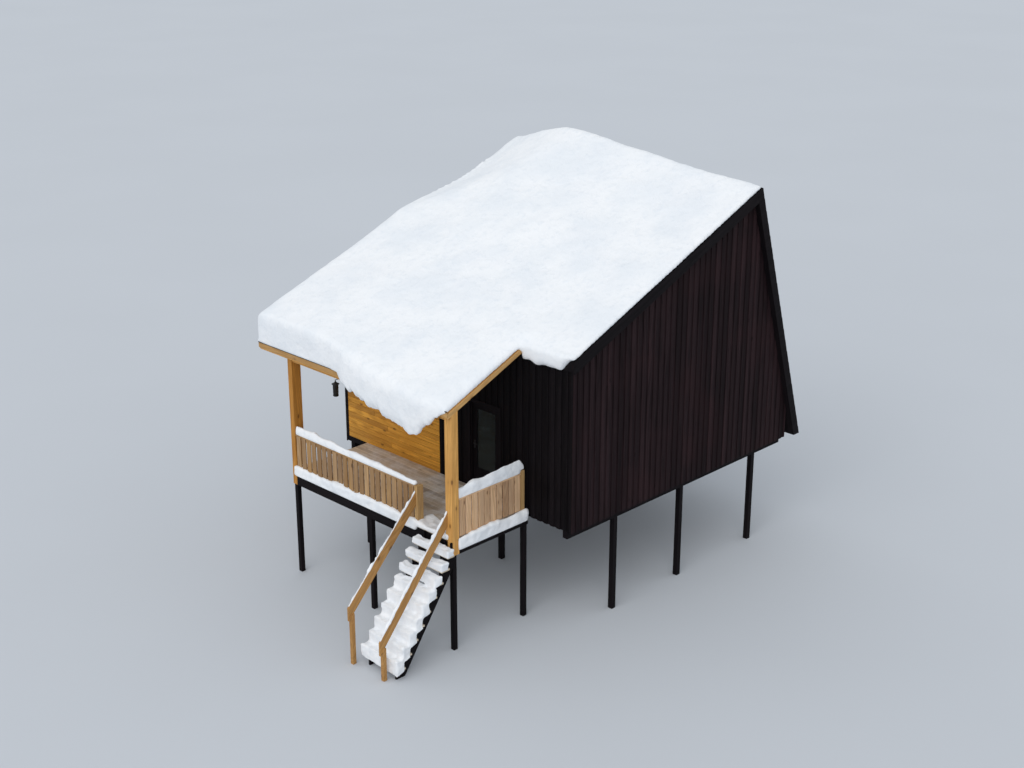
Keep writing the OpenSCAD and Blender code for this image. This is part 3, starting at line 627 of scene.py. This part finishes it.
def eave_boards(rng):
    """The porch's eave board and the dark drip edge along its top."""
    bm, foot = board_mesh(), EAVE_TOP - sizes().eave_board_h
    for a, b in split_run(rng, PORCH_Y0, PORCH_Y1, longest=4.5):
        put_box(bm, (EAVE_X, a, foot), (SLAB_X, b, EAVE_TOP), rng.random() * 0.5)
    settle_piece(bm, "porch_eave_board", [pine("trim", Y)], ["porch_fascia"], edge=0.004)

    bm, out, cover, lap = board_mesh(), 0.01, 0.016, 0.008
    put_box(bm, (EAVE_X - out, PORCH_Y0, EAVE_TOP - cover), (EAVE_X + out, PORCH_Y1, EAVE_TOP + lap))
    settle_piece(bm, "porch_drip_edge", [painted_metal()], edge=0.003)


class CABIN_OT_lining(bpy.types.Operator):
    """Builds the porch's wall lining, ceiling boards, eave board and drip edge"""

    bl_idname = "cabin.lining"
    bl_label = "Porch lining"

    def execute(self, context):
        rng = random.Random(21)
        wall_lining(rng)
        ceiling_boards(rng)
        eave_boards(rng)
        return {"FINISHED"}


class CABIN_OT_porch_frame(bpy.types.Operator):
    """Builds the porch's beam, roof posts and rafters"""

    bl_idname = "cabin.porch_frame"
    bl_label = "Porch frame"

    def execute(self, context):
        beam = copy_of("porch_beam")
        cut_above(beam, (0, 0, BEAM[1].z - sizes().beam_h), (0, 0, -1))
        cut_above(beam, (0, FAR_POST[1].y, 0), (0, 1, 0))
        self.settle(beam, "porch_eave_beam", pine("post", Y), "porch_beam")

        wider = sizes().post_board_t
        # The far post takes the darker colour, which is painted shade
        for node, tone, side in (("near_roof_post", "post", Y), ("far_roof_post", "far_post", X)):
            post = copy_of(node)
            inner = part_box(node)[1][side] - 0.01
            for v in post.verts:
                if v.co[side] > inner:
                    v.co[side] += wider
                    if side == X and v.co.z > DECK_H + 1:
                        v.co.z += LOW_RISE * wider
            self.settle(post, node + "_board", pine(tone, Z), node)

        rafters = copy_of("porch_rafters")
        cut_above(rafters, (BEAM[1].x, 0, 0), (-1, 0, 0))
        self.settle(rafters, "porch_ceiling_rafters", pine("post", X, tilt=LOW_PITCH), "porch_rafters")
        return {"FINISHED"}

    @staticmethod
    def settle(bm, name, finish, node):
        """Joins what is flat, and puts the copy in its node's place with worn edges."""
        bmesh.ops.dissolve_limit(bm, angle_limit=0.02, verts=bm.verts[:], edges=bm.edges[:])
        settle_piece(bm, name, [finish], [node], edge=sizes().worn_edge)


class CABIN_OT_deck(bpy.types.Operator):
    """Builds the deck boards"""

    bl_idname = "cabin.deck"
    bl_label = "Deck boards"

    def execute(self, context):
        rng, bm, gap, uneven = random.Random(31), board_mesh(), sizes().board_gap, 0.002
        low, high = DECK
        count, step = evenly(high.x - low.x, sizes().deck_board_w)
        for i in range(count):
            a, b = low.x + i * step, low.x + (i + 1) * step - gap
            at_posts = (a + b) / 2 < NEAR_POST[1].x
            y0, y1 = (NEAR_POST[1].y, FAR_POST[0].y) if at_posts else (low.y, high.y)
            for start, end in split_run(rng, y0, y1, longest=3.9, gap=0.004):
                put_box(bm, (a, start, low.z), (b, end, high.z - rng.random() * uneven), rng.random())
        boards = pine("deck", Y, grey=0.6, knots=0.6, frost=0.5)
        settle_piece(bm, "porch_deck", [boards], ["deck_boards"], edge=0.004)
        return {"FINISHED"}


def railing(name, node, along, inward, board_w, tone, seed):
    """A boarded railing: rails, cap and upright boards on its outer face."""
    rng, bm, (low, high) = random.Random(seed), board_mesh(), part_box(node)
    rail_w, rail_t, rail_gap, cap_w, cap_t = 0.045, 0.09, 0.09, 0.1, 0.028
    board_gap, pitch, uneven, lean = 0.04, 0.19, (0.006, 0.008), 0.004
    top = high.z - DECK_H - cap_t
    along, inward, up = Vector(along), Vector(inward), Vector((0, 0, 1))
    start = Vector((low.x, high.y if along.y else low.y, DECK_H)) + inward * RAILING_BOARD_T
    run = high.y - low.y if along.y else high.x - low.x

    def part(u, v, w, tone, finish):
        ends = zip(*(start + along * u[i] + inward * v[i] + up * w[i] for i in range(2)))
        return put_box(bm, *zip(*(sorted(pair) for pair in ends)), tone, finish)

    for foot in (rail_gap, top - rail_t):
        part((0, run), (0, rail_w), (foot, foot + rail_t), rng.uniform(0.3, 0.7), 0)
    half = (cap_w - rail_w) / 2
    for u in split_run(rng, 0, run, longest=2.8):
        part(u, (-half, rail_w + half), (top, top + cap_t), rng.uniform(0.0, 0.5), 0)
    count = max(1, round(run / pitch))
    clear = (run - count * board_w) / (count + 1)
    for i in range(count):
        u = clear + i * (board_w + clear) + rng.uniform(-uneven[0], uneven[0])
        foot = board_gap + rng.uniform(-uneven[1], uneven[1])
        made = part((u, u + board_w), (-RAILING_BOARD_T, 0), (foot, top), rng.random() ** 1.4 * 0.85, 1)
        middle = sum((v.co for v in made), Vector()) / len(made)
        turn = Matrix.Rotation(rng.uniform(-lean, lean), 3, inward)
        bmesh.ops.rotate(bm, cent=middle, matrix=turn, verts=made)
    finishes = [pine(tone, Y if along.y else X, grey=0.15), pine(tone, Z, grey=0.15)]
    settle_piece(bm, name, finishes, [node], edge=0.005)


class CABIN_OT_railings(bpy.types.Operator):
    """Builds the two boarded railings of the porch"""

    bl_idname = "cabin.railings"
    bl_label = "Railings"

    def execute(self, context):
        railing("long_porch_railing", "long_railing", (0, -1, 0), (1, 0, 0), 0.145, "railing", 41)
        railing("near_porch_railing", "near_railing", (1, 0, 0), (0, 1, 0), 0.165, "near_railing", 42)
        return {"FINISHED"}


class CABIN_OT_shingles(bpy.types.Operator):
    """Lays the courses of shingles on the steep slope"""

    bl_idname = "cabin.shingles"
    bl_label = "Shingles"

    def execute(self, context):
        rng, bm = random.Random(51), board_mesh()
        width, thick = sizes().shingle_w, sizes().shingle_t
        side_gap, least, lap, uneven = 0.003, 0.03, 1.25, 0.004
        ridge, foot = Vector((RIDGE_X, 0, RIDGE_H)), Vector((FOOT_X, 0, FOOT_H))
        down = Vector((math.cos(STEEP_PITCH), 0, -math.sin(STEEP_PITCH)))
        out = Vector((math.sin(STEEP_PITCH), 0, math.cos(STEEP_PITCH)))
        basis = Matrix((down, (0, 1, 0), out)).transposed().to_4x4()
        count, course = evenly((foot - ridge).length, sizes().shingle_course)
        for i in range(count):
            cover = course * (lap if i else 1.0)
            tilt = Matrix.Rotation(math.atan2(thick * 0.8, cover), 4, "Y")
            y = ROOF_Y0 + (i % 2) * width / 2 - width / 2
            while y < ROOF_Y1:
                a, b = max(y + side_gap, ROOF_Y0), min(y + width - side_gap, ROOF_Y1)
                y += width
                if b - a < least:
                    continue
                low_end = (i + 1) * course + rng.uniform(-uneven, uneven)
                spot = ridge + down * (low_end - cover / 2) + out * thick * 0.45
                spot.y = (a + b) / 2
                size = Matrix.Diagonal((cover, b - a, thick * 0.6, 1))
                put_cube(bm, Matrix.Translation(spot) @ basis @ tilt @ size, rng.random())
        settle_piece(bm, "steep_roof_shingles", [shingle()])
        return {"FINISHED"}


def turned(bm, outline, spot, finish=0):
    """Spins an outline of (radius, height) points about an upright axis."""
    spot, before = Vector(spot), set(bm.faces)
    verts = [bm.verts.new(spot + Vector((r, 0, h))) for r, h in outline]
    edges = [bm.edges.new(pair) for pair in zip(verts, verts[1:])]
    bmesh.ops.spin(
        bm, geom=verts + edges, cent=spot, axis=(0, 0, 1), angle=math.tau, steps=24, use_merge=True
    )

    def spun():
        return list({v for face in bm.faces if face not in before for v in face.verts})

    bmesh.ops.remove_doubles(bm, verts=spun(), dist=TOUCH)
    dress(bm, spun(), finish=finish)


def rod(bm, start, end, radius, sides=10):
    """A round bar between two points."""
    start, end = Vector(start), Vector(end)
    turn = (end - start).to_track_quat("Z", "Y").to_matrix().to_4x4()
    made = bmesh.ops.create_cone(
        bm, cap_ends=True, segments=sides, radius1=radius, radius2=radius, depth=(end - start).length,
        matrix=Matrix.Translation((start + end) / 2) @ turn,
    )["verts"]
    dress(bm, made)


class CABIN_OT_lantern(bpy.types.Operator):
    """Builds the hanging lantern with its cage, hood, arm and wall plate"""

    bl_idname = "cabin.lantern"
    bl_label = "Lantern"

    def execute(self, context):
        bm, (low, high) = board_mesh(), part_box("lantern")
        plate_t, half_plate, bar, brace_h = 0.02, 0.04, 0.03, 0.11
        body_r, body_h, hood_r, hood_h = 0.08, 0.32, 0.1, 0.06
        x, y, wall = low.x + hood_r, (low.y + high.y) / 2, high.x - plate_t
        foot, top = low.z, low.z + body_h
        arm_z = top + hood_h + bar * 1.5
        put_box(bm, (wall, y - half_plate, arm_z - 0.1), (high.x, y + half_plate, arm_z + 0.06))
        round_edges(bm, 0.005, 2)

        def spun(height, radius, *outline, finish=0):
            """The outline's radii are shares of the radius."""
            turned(bm, [(radius * r, h) for r, h in outline], (x, y, height), finish)

        base_h, lid_h, glass_h = 0.036, 0.016, body_h - 0.05
        spun(foot, body_r, (0, 0), (0.72, 0), (0.9, 0.012), (0.9, 0.03), (0.8, base_h), (0, base_h))
        spun(top - lid_h, body_r, (0, 0), (0.95, 0), (0.95, lid_h), (0, lid_h))
        spun(top, hood_r, (0, 0), (1, 0), (0.98, 0.006), (0.62, 0.024), (0.34, 0.044),
             (0.2, hood_h), (0.14, hood_h + 0.018), (0, hood_h + 0.02))
        spun(foot + 0.034, body_r, (0, 0), (0.74, 0), (0.82, glass_h), (0, glass_h), finish=1)
        for share in (0.33, 0.66):
            r, half, thick = body_r * (0.83 + 0.07 * share), 0.004, 0.008
            hoop = [(r - half, 0), (r + half, 0), (r + half, thick), (r - half, thick), (r - half, 0)]
            turned(bm, hoop, (x, y, foot + body_h * share))
        for i in range(6):
            out = Vector((math.cos(math.tau * i / 6), math.sin(math.tau * i / 6), 0)) * body_r
            rod(bm, Vector((x, y, foot + 0.03)) + out * 0.82, Vector((x, y, top)) + out * 0.9, 0.005, 6)
        rod(bm, (x, y, top + hood_h), (x, y, arm_z + bar * 0.1), 0.007)
        rod(bm, (x - 0.02, y, arm_z), (wall, y, arm_z), 0.009)
        rod(bm, (wall, y, arm_z - brace_h), (wall - (wall - x) * 0.62, y, arm_z), 0.006, 8)
        glass = pane("lantern_glass", (0.05, 0.05, 0.05), 0.3)
        settle_piece(bm, "porch_lantern", [painted_metal(), glass], ["lantern"])
        return {"FINISHED"}


class CABIN_OT_door(bpy.types.Operator):
    """Adds the door's casing boards, handle and mouldings"""

    bl_idname = "cabin.door"
    bl_label = "Door trim"

    def execute(self, context):
        bm, (low, high) = board_mesh(), DOOR
        proud, width, lap, sill = 0.034, 0.09, 0.02, 0.06
        x0, y0, y1, top = WALL_X - proud, low.y + lap, high.y - lap, high.z + width - lap
        put_box(bm, (x0, y0 - width, DECK_H), (WALL_X, y0, top), 0.1)
        put_box(bm, (x0, y1, DECK_H), (WALL_X, y1 + width, top), 0.2)
        put_box(bm, (x0, y0, high.z - lap), (WALL_X, y1, top), 0.15)
        put_box(bm, (WALL_X - sill, y0, DECK_H), (WALL_X + sill, y1, FLOOR_H), 0.4)
        settle_piece(bm, "door_casing", [stain("black", Z)], edge=0.003)

        leaf_low, leaf_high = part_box("door_leaf")
        bm, plate_t, half_w, half_h, reach, lever = board_mesh(), 0.008, 0.02, 0.1, 0.05, 0.12
        x, y, z = leaf_low.x, leaf_high.y - 0.06, leaf_low.z + 1.0
        put_box(bm, (x - plate_t, y - half_w, z - half_h), (x, y + half_w, z + half_h))
        round_edges(bm, 0.003, 2)
        z, grip = z + 0.03, x - reach + 0.005
        rod(bm, (x, y, z), (x - reach, y, z), 0.009, 12)
        rod(bm, (grip, y + 0.006, z), (grip, y - lever, z), 0.008, 12)
        settle_piece(bm, "door_handle", [painted_metal()])

        low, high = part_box("door_glass")
        bm, bead, x0, x1 = board_mesh(), 0.016, leaf_low.x + 0.004, low.x + 0.002
        y0, y1 = low.y + bead, high.y - bead
        for a, b in ((low.y, y0), (y1, high.y)):
            put_box(bm, (x0, a, low.z), (x1, b, high.z), 0.3)
        for a, b in ((low.z, low.z + bead), (high.z - bead, high.z)):
            put_box(bm, (x0, y0, a), (x1, y1, b), 0.3)
        settle_piece(bm, "door_beads", [stain("black", Z)], edge=0.004)
        return {"FINISHED"}


def lumps(spot, size, seed):
    """Soft noise around 0 at a place, for lumps about that size."""
    return noise.noise(Vector(spot) / size + Vector((seed, seed * 1.7, 0)))


def even_snow(bm, name, cell, rounds, swells, replaces=(), frayed=None):
    """Snow from rough blocks: remeshed evenly, smoothed, then swelled by lumps of (size, height)."""
    bmesh.ops.recalc_face_normals(bm, faces=bm.faces[:])
    mesh = as_mesh(bm, name + "_rough")
    rough = in_scene(mesh)
    step = rough.modifiers.new("even", "REMESH")
    step.mode, step.voxel_size = "VOXEL", cell
    bpy.context.view_layer.update()
    shaped = rough.evaluated_get(bpy.context.evaluated_depsgraph_get())
    bm = bmesh.new()
    bm.from_mesh(shaped.to_mesh())
    shaped.to_mesh_clear()
    bpy.data.objects.remove(rough)
    bpy.data.meshes.remove(mesh)
    axes = {"use_axis_x": True, "use_axis_y": True, "use_axis_z": True}
    for _ in range(rounds):
        bmesh.ops.smooth_vert(bm, verts=bm.verts[:], factor=0.5, **axes)
    bm.normal_update()
    for v in bm.verts:
        free = held(v.normal.z * 1.5 + 0.75)
        for seed, (size, height) in enumerate(swells):
            v.co += v.normal * (lumps(v.co, size, seed * 7.3) * height * free)
    if frayed:
        frayed(bm)
    settle_piece(bm, name, [snow_finish()], replaces, smooth=True)


def fray(bm):
    """Ragged lip and lobe, snow over the far barge board, and a bare eave past the lip's end."""
    lobe_top, lip_end, lip_x = roof_z(LOW_EDGE_X), PORCH_Y0 + snows().lip_l, EAVE_X + 0.12
    far_band, far_ease, far_lift = 0.3, 0.18, Vector((0, 0.02, 0.02))
    for v in bm.verts:
        depth = EAVE_TOP - v.co.z
        if v.co.x < EAVE_X + 0.02 and v.normal.z < 0.2:
            coarse = lumps((0, v.co.y, v.co.z * 0.3), 0.18, 3) * 0.1
            v.co.z += (coarse + lumps((0, v.co.y, 0), 0.08, 5) * 0.05) * held(depth / 0.25)
        hung = lobe_top - v.co.z
        if LOW_EDGE_X - 0.2 < v.co.x < LOW_EDGE_X + 0.02 and v.co.y < PORCH_Y0 and hung > 0:
            v.co.z += lumps((0, v.co.y, 0), 0.3, 9) * 0.16 * held(hung / 0.2)
        if v.co.y > ROOF_Y1 - far_band and v.co.z > roof_z(v.co.x) - 0.06:
            v.co += far_lift * held((v.co.y - ROOF_Y1 + far_band) / far_ease)
            v.co.y += max(0, ROOF_Y1 + 0.008 - v.co.y) * held((v.normal.y - 0.2) / 0.6)
        if v.co.x < lip_x and v.co.y > lip_end and depth > -0.04:
            v.co.z = max(v.co.z, EAVE_TOP + 0.004)
            v.co.x = min(v.co.x, EAVE_X - 0.006)


class CABIN_OT_roof_snow(bpy.types.Operator):
    """Lays the snow on the low slope and the porch roof, in one piece"""

    bl_idname = "cabin.roof_snow"
    bl_label = "Roof snow"

    def execute(self, context):
        house, porch, reach = copy_of("house_roof_snow"), copy_of("porch_roof_snow"), 0.1
        edge = max(v.co.x for v in porch.verts)
        for v in porch.verts:
            if v.co.x > edge - 0.01:
                v.co += Vector((reach, 0, reach * LOW_RISE))
        scrap = as_mesh(porch, "scrap")
        house.from_mesh(scrap)
        bpy.data.meshes.remove(scrap)

        top, corner = roof_z(LOW_EDGE_X), ROOF_Y0 + 0.06
        low = (LOW_EDGE_X - 0.09, corner, top - snows().lobe_h)
        high = (LOW_EDGE_X + 0.25, PORCH_Y0 + 0.03, top + 0.1)
        for v in put_box(house, low, high):
            if v.co.z < top:
                v.co += Vector((0, 0.3, 0.04) if v.co.y < corner + 0.01 else (0, 0, 0.03))
        cell = snows().roof_cell * 1
        swells = [(2.6, snows().roof_swell), (0.9, snows().roof_swell * 0.4), (0.25, snows().roof_lumps)]
        even_snow(house, "roof_snow", cell, 4, swells, ["house_roof_snow", "porch_roof_snow"], fray)
        return {"FINISHED"}


def rail_caps(cell):
    """Snow on the railings, higher away from the stairs, with a flatter cap on the near newel."""
    caps = copy_of("railing_snow")
    rail_top, newel_top, sunk = LONG_RAIL[1].z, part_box("railing_newels")[1].z, 0.012
    (x0, x1), (y0, y1) = (NEAR_RAIL[0].x, NEAR_RAIL[1].x), (LONG_RAIL[0].y, LONG_RAIL[1].y)
    for v in caps.verts:
        height = v.co.z - rail_top
        if height < 0.01:
            v.co.z -= sunk
        elif v.co.y > y0 + 0.01 and v.co.x < x0:
            v.co.z += height * snows().long_growth * held(2 * (v.co.y - y0) / (y1 - y0))
        else:
            share = (v.co.x - x0) / (x1 - x0)
            v.co.z += height * snows().near_growth * min(1, share)
            if share > 0.999:
                v.co.z = newel_top + (v.co.z - newel_top) * (0.35 if share > 1.01 else 0.8)
    even_snow(caps, "railing_snow_caps", cell, 9, [(0.35, 0.05), (0.12, 0.015)], ["railing_snow"])


def deck_edges(cell):
    """Snow along the deck's outer edge and near edge, and between the near post and the railing."""
    bm, out, z = board_mesh(), snows().rim_out, DECK_H
    x, y, rail_y, post = DECK[0].x, DECK[0].y, LONG_RAIL[0].y, NEAR_POST[1]
    put_box(bm, (x - out, rail_y - 0.05, z - 0.12), (x + 0.16, FAR_POST[0].y + 0.02, z + snows().rim_h))
    put_box(bm, (post.x - 0.05, y - out, z - 0.26), (DECK[1].x - 0.05, y + 0.02, z + 0.05))
    put_box(bm, (x - 0.02, post.y - 0.02, z - 0.03), (x + 0.5, rail_y, z + 0.1))
    even_snow(bm, "deck_edge_snow", cell * 1.2, 8, [(0.5, 0.06), (0.16, 0.03)])


def handrail_strips():
    """Snow on the upper edges of the handrails."""
    half, sunk, inset, height = snows().strip_w / 2, 0.008, 0.02, snows().strip_h
    for node, top in HANDRAILS.items():
        bm, (low, high) = board_mesh(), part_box(node)
        middle = (low.y + high.y) / 2
        made = put_box(bm, (low.x + inset, middle - half, -sunk), (DECK[0].x, middle + half, height))
        for v in made:
            v.co.z += top + handrail_rise(node) * (v.co.x - low.x)
        even_snow(bm, node + "_snow", 0.012, 4, [(0.3, 0.05), (0.09, 0.03)])


def step_snow(cell):
    """Snow on the treads, deeper and rounder towards the foot of the stairs."""
    steps, over = copy_of("tread_snow"), snows().tread_over
    middle = (TREADS[0].y + TREADS[1].y) / 2
    for v in steps.verts:
        v.co.y += over * (1 if v.co.y > middle else -1)
        down = (DECK_H - v.co.z) / RISE
        step = math.ceil(down - 0.01)
        share, under = held((step - 2) / 4), down > step - 0.3
        if v.co.x < DECK[0].x - step * GOING:
            v.co.x -= over
            v.co.z -= (0.015 + 0.05 * share) * under
        if v.co.y < middle and under:
            v.co.z -= 0.07 * share
        v.co.z += snows().step_growth * share * (down < step - 0.3)
    even_snow(steps, "step_snow", cell, 5, [(0.3, 0.05), (0.1, 0.02)], ["tread_snow"])


class CABIN_OT_small_snow(bpy.types.Operator):
    """Lays the snow on the railings, the deck's edges, the steps and the handrails"""

    bl_idname = "cabin.small_snow"
    bl_label = "Snow on rails and steps"

    def execute(self, context):
        cell = snows().small_cell
        rail_caps(cell)
        deck_edges(cell)
        handrail_strips()
        step_snow(cell)
        return {"FINISHED"}


def plain_node(name, finish, worn):
    """Gives a CAD node its finish and, where it is sawn timber, worn edges."""
    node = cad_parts[name]
    node.data.materials.clear()
    node.data.materials.append(finish)
    if worn:
        weld = node.modifiers.new("weld", "WELD")
        weld.merge_threshold = CAD_TOUCH
        edge = node.modifiers.new("worn edges", "BEVEL")
        edge.width, edge.segments, edge.limit_method = sizes().worn_edge, 2, "ANGLE"
        edge.angle_limit = math.radians(30)


class CABIN_OT_finishes(bpy.types.Operator):
    """Gives every CAD node its finish"""

    bl_idname = "cabin.finishes"
    bl_label = "Finishes"

    def execute(self, context):
        upright, level, sloped = stain("black", Z), stain("black", X), stain("black", X, tilt=LOW_PITCH)
        walls = "porch_side_wall_near porch_side_wall_over_door porch_side_wall_far steep_side_wall"
        sawn = [
            ("piers deck_posts door_leaf door_frame corner_strips", upright),
            ("girders deck_joists", level),
            ("deck_rim_boards", stain("black", Y)),
            ("near_barge_boards far_barge_boards", sloped),
            ("stringers", stain("black", X, tilt=STAIR_ANGLE)),
            ("porch_rake_boards", pine("trim", X, tilt=LOW_PITCH)),
            ("railing_newels", pine("newel", Z, grey=0.1)),
            ("treads", pine("deck", Y, grey=0.5)),
            *((name, pine("handrail", X, tilt=math.atan(handrail_rise(name)))) for name in HANDRAILS),
        ]
        plain = [
            ("house_floor", level),
            ("near_gable_wall far_gable_wall", stain("gable", Z, fade=0.3)),
            (walls, upright),
            ("low_roof", sloped),
            ("steep_roof", stain("black", X, tilt=-STEEP_PITCH)),
            ("porch_roof", pine("post", Y)),
            # The door glass is tinted dark: greenish glass with painted shade of the unlit room behind it
            ("door_glass", pane("door_glass", (0.20, 0.25, 0.25), 0.92)),
        ]
        for worn, group in ((True, sawn), (False, plain)):
            for names, finish in group:
                for name in names.split():
                    plain_node(name, finish, worn)
        return {"FINISHED"}


def pale_floor():
    """A wide floor with faint patches."""
    bm = bmesh.new()
    bmesh.ops.create_grid(bm, x_segments=1, y_segments=1, size=450.0)
    floor = in_scene(as_mesh(bm, "floor"))
    finish, ground = Finish("floor", Specular_IOR_Level=0.0), colours().ground
    patch = finish.cloud(finish.places(), 0.12, 3.0)
    body = finish.over(ground, patch, 0.3, 0.7, shade(ground, 0.985))
    floor.data.materials.append(finish.done(body, 0.9))


def overcast_sky():
    """A soft lamp and an even sky, which the camera sees as a plain backdrop."""
    world = bpy.data.worlds.new("overcast")
    world.use_nodes = True
    nodes, links = world.node_tree.nodes, world.node_tree.links
    light, backdrop = nodes["Background"], nodes.new("ShaderNodeBackground")
    light.inputs["Color"].default_value = (0.90, 0.95, 1.0, 1)
    light.inputs["Strength"].default_value = 0.74
    backdrop.inputs["Color"].default_value = (0.525, 0.57, 0.62, 1)
    seen, mixed = nodes.new("ShaderNodeLightPath"), nodes.new("ShaderNodeMixShader")
    for i, source in enumerate((seen.outputs["Is Camera Ray"], light.outputs[0], backdrop.outputs[0])):
        links.new(source, mixed.inputs[i])
    links.new(mixed.outputs[0], nodes["World Output"].inputs["Surface"])
    bpy.context.scene.world = world
    lamp = bpy.data.lights.new("soft sky", "SUN")
    lamp.energy, lamp.angle, lamp.color = 1.15, math.radians(60), (1.0, 0.98, 0.95)
    sun = in_scene(lamp)
    sun.rotation_euler = Vector((-0.95, -0.4, 0.8)).to_track_quat("Z", "Y").to_euler()


class CABIN_OT_stage(bpy.types.Operator):
    """Sets up the floor, the soft light and the camera at the photographed angle"""

    bl_idname = "cabin.stage"
    bl_label = "Stage"

    def execute(self, context):
        pale_floor()
        overcast_sky()
        view = bpy.data.cameras.new("camera")
        view.lens, view.sensor_width, view.sensor_fit, view.clip_end = LENS, 36.0, "HORIZONTAL", 2000
        camera = in_scene(view)
        camera.location = CAMERA_AT
        camera.rotation_euler = [math.radians(turn) for turn in CAMERA_TURN]
        bpy.context.scene.camera = camera
        bpy.context.scene.view_settings.view_transform = "Standard"
        return {"FINISHED"}


BUILDERS = (
    CABIN_OT_cladding, CABIN_OT_lining, CABIN_OT_porch_frame, CABIN_OT_deck, CABIN_OT_railings,
    CABIN_OT_shingles, CABIN_OT_lantern, CABIN_OT_door, CABIN_OT_roof_snow, CABIN_OT_small_snow,
    CABIN_OT_finishes, CABIN_OT_stage,
)


GROUPS = {"cabin_sizes": CabinSizes, "cabin_snow": CabinSnow, "cabin_colours": CabinColours}


class CABIN_PT_panel(bpy.types.Panel):
    """Sizes, colours and builders of the cabin"""

    bl_label = "Cabin"
    bl_idname = "CABIN_PT_panel"
    bl_space_type = "VIEW_3D"
    bl_region_type = "UI"
    bl_category = "Cabin"

    def draw(self, context):
        for key, group in GROUPS.items():
            box = self.layout.box()
            for name in group.__annotations__:
                box.prop(getattr(context.scene, key), name)
        for builder in BUILDERS:
            self.layout.operator(builder.bl_idname)


CLASSES = (*GROUPS.values(), *BUILDERS, CABIN_PT_panel)


def register():
    for made in CLASSES:
        bpy.utils.register_class(made)
    for name, group in GROUPS.items():
        setattr(bpy.types.Scene, name, PointerProperty(type=group))


def unregister():
    for name in GROUPS:
        delattr(bpy.types.Scene, name)
    for made in reversed(CLASSES):
        bpy.utils.unregister_class(made)


def main():
    register()
    for builder in BUILDERS:
        getattr(bpy.ops.cabin, builder.bl_idname.removeprefix("cabin."))()


if __name__ == "__main__":
    main()
